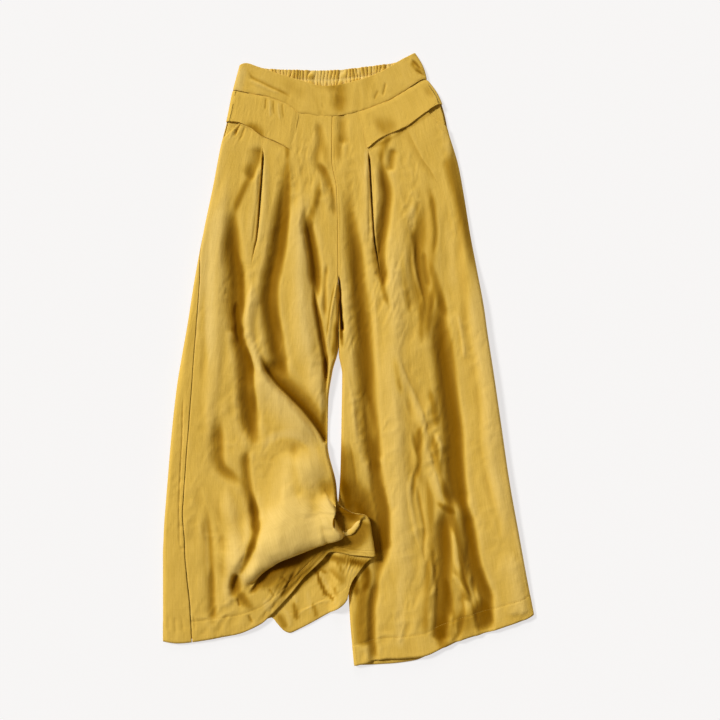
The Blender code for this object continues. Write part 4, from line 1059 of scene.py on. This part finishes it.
def linen(name, colour):
    """Plain-woven linen: threads, slubs, uneven dye and a soft sheen, with shade and highlight painted into
    its colour.
    """
    made, tree, shader = material(name, {
        "Roughness": 0.85, "Specular IOR Level": 0.02, "Sheen Weight": 0.10, "Sheen Roughness": 0.45,
        "Sheen Tint": (1.0, 0.82, 0.42, 1)})
    chart = node(tree, "ShaderNodeUVMap", uv_map="weave").outputs[0]
    warp_slubs = streaks(tree, chart, 900, 22)
    weft_slubs = streaks(tree, chart, 16, 850)
    dye = streaks(tree, chart, 30, 14, 3.0)
    flecks = streaks(tree, chart, 420, 160)
    crumple = streaks(tree, chart, 180, 90, 3.0)
    parts = node(tree, "ShaderNodeSeparateXYZ")
    link(tree, chart, parts.inputs[0])
    warp = math(tree, "SINE", math(tree, "MULTIPLY", parts.outputs[0], 2 * np.pi * WARP_COUNT))
    weft = math(tree, "SINE", math(tree, "MULTIPLY", parts.outputs[1], 2 * np.pi * WEFT_COUNT))
    weave = math(tree, "MULTIPLY", warp, weft)

    shade = mixed(tree, (warp_slubs, 0.40), (weft_slubs, 0.18), (dye, 0.30), (flecks, 0.12))
    threads = ramp(tree, shade, ((0.36, scaled(colour, (0.90, 0.88, 0.78))),
                                 (0.64, scaled(colour, (1.05, 1.06, 1.16)))))
    # Painted shade and highlight: the threads' colour times a colour from the painted-shading value.
    hollow = node(tree, "ShaderNodeAttribute", attribute_name="hollow").outputs["Fac"]
    lifted = math(tree, "ADD", math(tree, "MULTIPLY", hollow, 0.4), 0.4)
    coloured = node(tree, "ShaderNodeMix", {"Factor": 1.0}, data_type="RGBA", blend_type="MULTIPLY")
    link(tree, threads, coloured.inputs["A"])
    link(tree, ramp(tree, lifted, PAINTED_SHADING_STOPS), coloured.inputs["B"])
    link(tree, coloured.outputs["Result"], shader.inputs["Base Color"])
    height = mixed(tree, (weave, 0.03), (warp_slubs, 0.28), (weft_slubs, 0.12), (crumple, 0.7))
    bumped(tree, shader, height, {"Strength": 0.8, "Distance": 0.0011})
    return made


def thread_finish(name):
    """Spun thread, a little darker than the cloth."""
    made, tree, shader = material(name, {"Roughness": 0.6, "Specular IOR Level": 0.15})
    place = node(tree, "ShaderNodeTexCoord").outputs["Object"]
    noise = node(tree, "ShaderNodeTexNoise", {"Scale": 900})
    link(tree, place, noise.inputs["Vector"])
    twist = noise.outputs["Fac"]
    colour = ramp(tree, twist, ((0, scaled(THREAD, (0.8,) * 3)), (1, scaled(THREAD, (1.15,) * 3))))
    link(tree, colour, shader.inputs["Base Color"])
    bumped(tree, shader, twist, {"Distance": 0.0002})
    return made


def declare(piece):
    """Attach a finished piece of cloth to the root, and hide the solid it stands for."""
    cut = CUTS[piece.name]
    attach(piece, "root")
    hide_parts(cut.node)


def hem_wall(v):
    """Wall down a leg, a little thicker below the hem's fold."""
    return CLOTH + HEM_EXTRA * ease((v - HEM_START) / HEM_STEP)


def seam_dip(w, v, low, high):
    """How far the cloth sinks into the seams along its two sides, at the waist and at the hem's fold."""
    def sink(away, depth, reach):
        return depth * np.exp(-(away / reach) ** 2)

    sides = sink((w - low) * LEG_ACROSS, *SIDE_DIP) + sink((high - w) * LEG_ACROSS, *SIDE_DIP)
    return sides + sink(v * LEG_DOWN, *WAIST_DIP) + sink((v - HEM_START) * LEG_DOWN, *HEM_DIP)


def front_leg(name, leg, spans, rows, shades, slits, finish):
    """Upper layer of a leg, from its outer seam or pocket mouth to the rise and inseam."""
    v = spread(rows)[:, None] + 0 * spread(spans)
    w = spread(spans) + 0 * v
    side = leg.at("side", v)
    is_open = leg.at("closed", v) < 0.5
    if leg.inner == "right":
        mouth = RIGHT_MOUTH_W
        w = np.where(w < mouth, side + w * (mouth - side) / mouth, w)
        low, high = side, 1 + 0 * v
        open_low, open_high = True, is_open
    else:
        mouth = LEFT_MOUTH_W
        w = np.where(w > mouth, mouth + (w - mouth) * (side - mouth) / (1 - mouth), w)
        low, high = 0 * v, side
        open_low, open_high = is_open, side < 1
    w = np.clip(w, low + HALF_GAP_W, high - HALF_GAP_W)
    dip = seam_dip(w, v, np.where(open_low, low, -FAR_W), np.where(open_high, high, FAR_W))
    wall = hem_wall(v)
    grid = leg.point(w, v, wall, dip=dip)
    # Painted shade and highlight fade out over the edges of the piece.
    inside = (ease((w - low) / INNER_SHARE) * ease((high - w) / INNER_SHARE)
              * ease(v / INNER_V) * ease((1 - v) / INNER_V))
    hollow = paint_shading(grid, leg.point(w, v, wall, calm=True), leg.folds, shades, slits, inside)
    return shell(name, grid, wall, leg.chart(w, v), finish, hollow)


def back_leg(name, leg, spans, rows, finish):
    """Lower layer of a leg; on the right leg it wraps round the outer fold to the side seam."""
    v = spread(rows)[:, None]
    w = spread(spans) + 0 * v
    last = 2 + 0 * v
    if leg.inner == "right":
        last = last + leg.at("side", v) * (v > SEAM_TOP)
        turn = w[:, w[0] > OUTER_TURN]
        wrap = last - (last - 2) * (1 - spread(RIGHT_WRAP))
        w = np.concatenate([w[:, w[0] <= OUTER_TURN], turn[:, :-1], np.maximum(wrap, turn[:, -1:])], axis=1)
    w = np.clip(w, 1 + HALF_GAP_W, last - HALF_GAP_W)
    v = v + 0 * w
    wall = hem_wall(v)
    grid = leg.point(w, v, wall)
    # Painted shade on the right leg's inner face above the hem, and painted light on its raised creases.
    shade = 0 * v
    if leg.inner == "right":
        shade = folded(grid, BACK_SHADES) - folded(grid, BACK_FOLDS) / 3
    return shell(name, grid, wall, leg.chart(w, v), finish, -np.tanh(shade), leg.outward(w, v, wall))


def band_line(drop, u):
    """Upper edge of the waistband, front or back."""
    left, right = np.array(BAND_TOP_LEFT, float), np.array(BAND_TOP_RIGHT, float)
    line = left + (right - left) * u[:, None]
    line[:, 1] -= through(drop.u, drop.drop, u)
    return line


def band_foot(front):
    """Points along the legs' top rows, and how far round its folded side edge the band is at each."""
    feet, turns = [], []
    for leg in (RIGHT, LEFT):
        side = np.clip(spread(BAND_W), 2 * HALF_GAP_W, 1 - 2 * HALF_GAP_W)
        w = side if front else 2 - side
        feet.append(leg.point(w, 0 * w, DOUBLE, calm=True))
        outer = side if leg.inner == "right" else 1 - side
        turns.append(np.sin(np.clip(outer / TURN, 0, 1) * np.pi / 2))
    return np.concatenate(feet), np.concatenate(turns)


def waistband(name, drop, front, finish):
    """A band of doubled cloth between the legs' top rows and its own upper edge."""
    foot, rise = band_foot(front)
    u = (foot[:, 0] - foot[0, 0]) / (foot[-1, 0] - foot[0, 0])
    middle = BAND_HEIGHT if front else DOUBLE / 2
    side_z = EDGE_HEIGHT + (SEAM_GAP / 2 if front else -SEAM_GAP / 2)
    top = np.column_stack([band_line(drop, u), side_z + (middle - side_z) * rise])
    foot = foot - unit(top - foot) * BAND_LAP
    foot[:, 2] += BAND_LIFT
    share = spread(BAND_ROWS)[:, None]
    grid = top + (foot - top) * share[..., None]
    grid[..., 0] += BAND_SIDE_BULGE * np.sin(np.pi * share) * u ** BULGE_POWER
    if front:
        creases = folded(grid, BAND_FOLDS)
        small = crinkle(grid[..., 0] * BAND_SCALE, grid[..., 1] * BAND_SCALE, BAND_SEED)
        grid[..., 2] += creases * rise
        grid[..., 2] += BAND_CRINKLE * small * rise
        # Painted shade in the band's creases and its wrinkles' dips, painted light on their crests, and the
        # band's shade table.
        shade = -creases / BAND_SHADE - BAND_WRINKLE_SHADE * small + folded(grid, BAND_SHADES)
        hollow = np.tanh(shade) * rise
    else:
        drawn = gathers(grid[..., 0], share)
        grid[..., 2] += drawn * rise
        # Painted shade between the gathers and painted light on their crests.
        shade = GATHER_SHADE * (1 - drawn / GATHER_HEIGHT) ** GATHER_POWER - GATHER_LIGHT
        hollow = np.clip(shade, -1, GATHER_DARKEST) * rise
        grid, hollow, u = grid[:, ::-1], hollow[:, ::-1], u[::-1]
    chart = np.stack(np.broadcast_arrays(u * BAND_ACROSS, share * BAND_DOWN), -1)
    wall = DOUBLE * (1 - BAND_THIN * ease((share - THIN_FROM) / THIN_OVER))
    return shell(name, grid, wall, chart, finish, hollow)


def gathers(x, share):
    """Cloth drawn up on elastic: uneven upright ridges, flattened along a row of stitches."""
    down = share * GATHER_DOWN
    lean = x + GATHER_LEAN.weight * (share - 0.3) * wander(x, 0 * x, GATHER_LEAN)
    phase = lean / GATHER_PITCH + GATHER_SHIFT.weight * wander(lean, 0 * x, GATHER_SHIFT)
    phase = phase + GATHER_TWIST.weight * wander(lean, down, GATHER_TWIST)
    ridge = np.abs(np.sin(np.pi * phase)) ** GATHER_ROUND
    stitched = 1 - GATHER_PRESS * np.exp(-((share - GATHER_SEAM) / GATHER_SEAM_WIDTH) ** 2)
    varied = 0.66 + GATHER_VARIETY.weight * wander(x, down, GATHER_VARIETY)
    return GATHER_HEIGHT * ridge * varied * stitched


def flap(name, leg, edge, stand, folds, finish):
    """A doubled flap on the leg, from the waist seam and the side down to its free lower edge."""
    share = spread(FLAP_ROWS)[:, None]
    reach = spread(FLAP_W)
    end_w = edge.end[0] + (edge.end[1] - edge.end[0]) * share
    thin = FLAP_END + (1 - FLAP_END) * ease((1 - reach) / FLAP_END_REACH)
    if leg.inner == "right":
        w = HALF_GAP_W + np.where(reach <= TURN, reach, reach * end_w)
    else:
        w = np.where(reach <= TURN, 1 - reach, 1 - reach * (1 - end_w))[:, ::-1] - HALF_GAP_W
        thin = thin[::-1]
    v = 2 * HALF_GAP_W + share * through(edge.w, edge.v, w)
    outer = ease(np.minimum(w, 1 - w) / FLAP_SIDE)
    inside = ease(np.minimum(w, 1 - w) / INNER_SHARE)
    wall = FLAP_WALL * thin + 0 * w
    lift = (CLOTH + wall) / 2 + FLAP_GAP + stand * share ** 2 * outer
    lift = lift * (0.55 + 0.45 * ease(share / FLAP_TOP)) * (0.7 + 0.3 * outer)
    flat = leg.point(w, v, calm=True)
    creases = folded(flat, folds)
    lift = lift + inside * np.maximum(creases, FLAP_SINK)
    lift = lift + FLAP_CRINKLE * inside * leg.wrinkles(w, v, FLAP_SEED, FLAP_SCALE)
    grid = flat + leg.outward(w, v, calm=True) * lift[..., None]
    # Painted shade in the flap's folds and painted light on its ridges.
    return shell(name, grid, wall, leg.chart(w, v), finish, np.tanh(-creases / FLAP_SHADE) * inside)


def pocket_facing(name, leg, finish):
    """The cloth that shows in the pocket mouth, one layer below the front leg."""
    v = spread(POCKET_ROWS)[:, None]
    side = leg.at("side", v)
    inner = np.linspace(0.05, 1, POCKET_COLUMNS)
    turn = np.linspace(0, TURN, POCKET_TURNS)
    if leg.inner == "right":
        w = np.concatenate([turn + 0 * v, TURN + (side + POCKET_LAP - TURN) * inner], axis=1)
    else:
        start = side - POCKET_LAP
        w = np.concatenate([start + (1 - TURN - start) * (1 - inner[::-1]), 1 - turn[::-1] + 0 * v], axis=1)
    w = np.clip(w, HALF_GAP_W, 1 - HALF_GAP_W)
    v = v + 0 * w
    grid = leg.point(w, v, calm=True) - leg.outward(w, v, calm=True) * POCKET_SINK
    return shell(name, grid, CLOTH, leg.chart(w, v), finish)


def lay_on(piece, path):
    """Points along a path in plan, lifted onto the upper face of a piece."""
    mesh = piece.data
    tree = BVHTree.FromPolygons([v.co for v in mesh.vertices], [p.vertices for p in mesh.polygons])
    run = np.hypot(*np.diff(np.array(path, float), axis=0).T).sum()
    laid = []
    for x, y in path_points(path, max(3, round(run / LAY_STEP))) * MM:
        place, normal, _, _ = tree.ray_cast(Vector((x, y, RAY_TOP)), Vector((0, 0, -1)))
        if place:
            laid.append(place + normal * LAY_ABOVE)
    return laid


def hem_row(name, piece, leg, start, end, count):
    """Stitches along the hem's fold, from one w to another, clear of the rolled corner."""
    w = np.linspace(start, end, count)
    line = leg.point(w, 0 * w + HEM_START, calm=True)[:, :2]
    return Row(name, piece, tuple(map(tuple, line)))


def stitch_tree(finish):
    """Nodes that set one rounded stitch after another along the seams they are given."""
    tree = bpy.data.node_groups.new("stitches_along_seams", "GeometryNodeTree")
    face = tree.interface
    face.new_socket("Seams", in_out="INPUT", socket_type="NodeSocketGeometry")
    for name in STITCH:
        face.new_socket(name, in_out="INPUT", socket_type="NodeSocketFloat")
    face.new_socket("Stitches", in_out="OUTPUT", socket_type="NodeSocketGeometry")
    given, made = node(tree, "NodeGroupInput"), node(tree, "NodeGroupOutput")
    curve = node(tree, "GeometryNodeMeshToCurve")
    places = node(tree, "GeometryNodeCurveToPoints", mode="LENGTH")
    stitch = node(tree, "GeometryNodeMeshIcoSphere", {"Radius": 0.5})
    size = node(tree, "ShaderNodeCombineXYZ")
    shape = node(tree, "GeometryNodeTransform")
    put = node(tree, "GeometryNodeInstanceOnPoints")
    real = node(tree, "GeometryNodeRealizeInstances")
    coloured = node(tree, "GeometryNodeSetMaterial", {"Material": finish})
    for start, output, end, entry in (
            (given, "Seams", curve, "Mesh"), (curve, "Curve", places, "Curve"),
            (given, "Pitch", places, "Length"), (given, "Width", size, "X"), (given, "Width", size, "Y"),
            (given, "Length", size, "Z"), (stitch, "Mesh", shape, "Geometry"),
            (size, "Vector", shape, "Scale"), (places, "Points", put, "Points"),
            (places, "Rotation", put, "Rotation"), (shape, "Geometry", put, "Instance"),
            (put, "Instances", real, "Geometry"), (real, "Geometry", coloured, "Geometry"),
            (coloured, "Geometry", made, "Stitches")):
        link(tree, start.outputs[output], end.inputs[entry])
    return tree


def stitches(pieces):
    """All the rows of stitches as one mesh."""
    points, edges = [], []
    hems = [hem_row("right_hem", "right_leg_front", RIGHT, 0.16, 0.88, 60),
            hem_row("left_hem", "left_leg_front", LEFT, 0.02, 0.98, 80)]
    for row in STITCH_ROWS + hems:
        laid = lay_on(pieces[row.piece], row.path)
        first = len(points)
        points += laid
        edges += [(first + i, first + i + 1) for i in range(len(laid) - 1)]
    lines = bpy.data.meshes.new("seam_lines")
    lines.from_pydata(points, edges, [])
    guide = add_object("seam_lines", lines)
    maker = guide.modifiers.new("stitches", "NODES")
    maker.node_group = stitch_tree(thread_finish("thread"))
    sockets = {s.name: s.identifier for s in maker.node_group.interface.items_tree if s.in_out == "INPUT"}
    for name, value in STITCH.items():
        maker[sockets[name]] = value
    seen = guide.evaluated_get(bpy.context.evaluated_depsgraph_get())
    mesh = bpy.data.meshes.new_from_object(seen)
    mesh.name = "seam_stitches"
    mesh.shade_smooth()
    bpy.data.objects.remove(guide)
    piece = add_object("seam_stitches", mesh)
    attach(piece, "root")


def place_camera():
    """Camera straight above the table."""
    data = bpy.data.cameras.new("camera")
    data.lens, data.sensor_width = 50, 36
    camera = add_object("camera", data)
    camera.location = CAMERA
    bpy.context.scene.camera = camera


def place_sun(sun):
    """Even light from one side of the table; elevation and apparent width in degrees."""
    data = bpy.data.lights.new(sun.name, "SUN")
    data.energy, data.angle = sun.strength, np.radians(sun.width)
    flat = Vector((*sun.side, 0)).normalized() * np.cos(np.radians(sun.elevation))
    toward = flat + Vector((0, 0, np.sin(np.radians(sun.elevation))))
    add_object(sun.name, data).rotation_euler = (-toward).to_track_quat("-Z", "Y").to_euler()


def place_floor():
    """Plain pale paper under everything."""
    mesh = bpy.data.meshes.new("floor")
    corners = [(x * FLOOR_REACH, y * FLOOR_REACH, FLOOR_Z) for x, y in ((-1, -1), (1, -1), (1, 1), (-1, 1))]
    mesh.from_pydata(corners, [], [(0, 1, 2, 3)])
    paper, _, _ = material("floor_paper", {
        "Base Color": (0.27, 0.2684, 0.2646, 1), "Emission Color": (0.99, 0.985, 1.013, 1),
        "Emission Strength": 0.677, "Roughness": 1.0})
    mesh.materials.append(paper)
    add_object("floor", mesh)


def studio():
    """Camera, lamps, surrounding light and floor."""
    place_camera()
    for sun in SUNS:
        place_sun(sun)
    world = bpy.data.worlds.new("studio")
    world.use_nodes = True
    fill(world.node_tree.nodes["Background"], {"Color": (1, 0.84, 0.45, 1), "Strength": 0.22})
    bpy.context.scene.world = world
    bpy.context.scene.view_settings.view_transform = "Standard"
    place_floor()


def dress():
    """Make every piece of cloth, attach each and hide its solid, then stitch them."""
    cloth = linen("mustard_linen", MUSTARD)
    pieces = [
        front_leg("right_leg_front", RIGHT, RIGHT_FRONT_W, RIGHT_ROWS, RIGHT_SHADES, RIGHT_SLITS, cloth),
        front_leg("left_leg_front", LEFT, LEFT_FRONT_W, LEFT_ROWS, LEFT_SHADES, LEFT_SLITS, cloth),
        back_leg("right_leg_back", RIGHT, RIGHT_BACK_W, RIGHT_ROWS, cloth),
        back_leg("left_leg_back", LEFT, LEFT_BACK_W, LEFT_ROWS, cloth),
        waistband("waistband_front", BAND_TOP, True, cloth),
        waistband("waistband_back", BAND_BACK_TOP, False, cloth),
        flap("right_hip_flap", RIGHT, RIGHT_FLAP, RIGHT_FLAP_STAND, RIGHT_FLAP_FOLDS, cloth),
        flap("left_hip_flap", LEFT, LEFT_FLAP, LEFT_FLAP_STAND, LEFT_FLAP_FOLDS, cloth),
        pocket_facing("right_pocket_facing", RIGHT, cloth),
        pocket_facing("left_pocket_facing", LEFT, cloth)]
    for piece in pieces:
        declare(piece)
    stitches({piece.name: piece for piece in pieces})


studio()
dress()
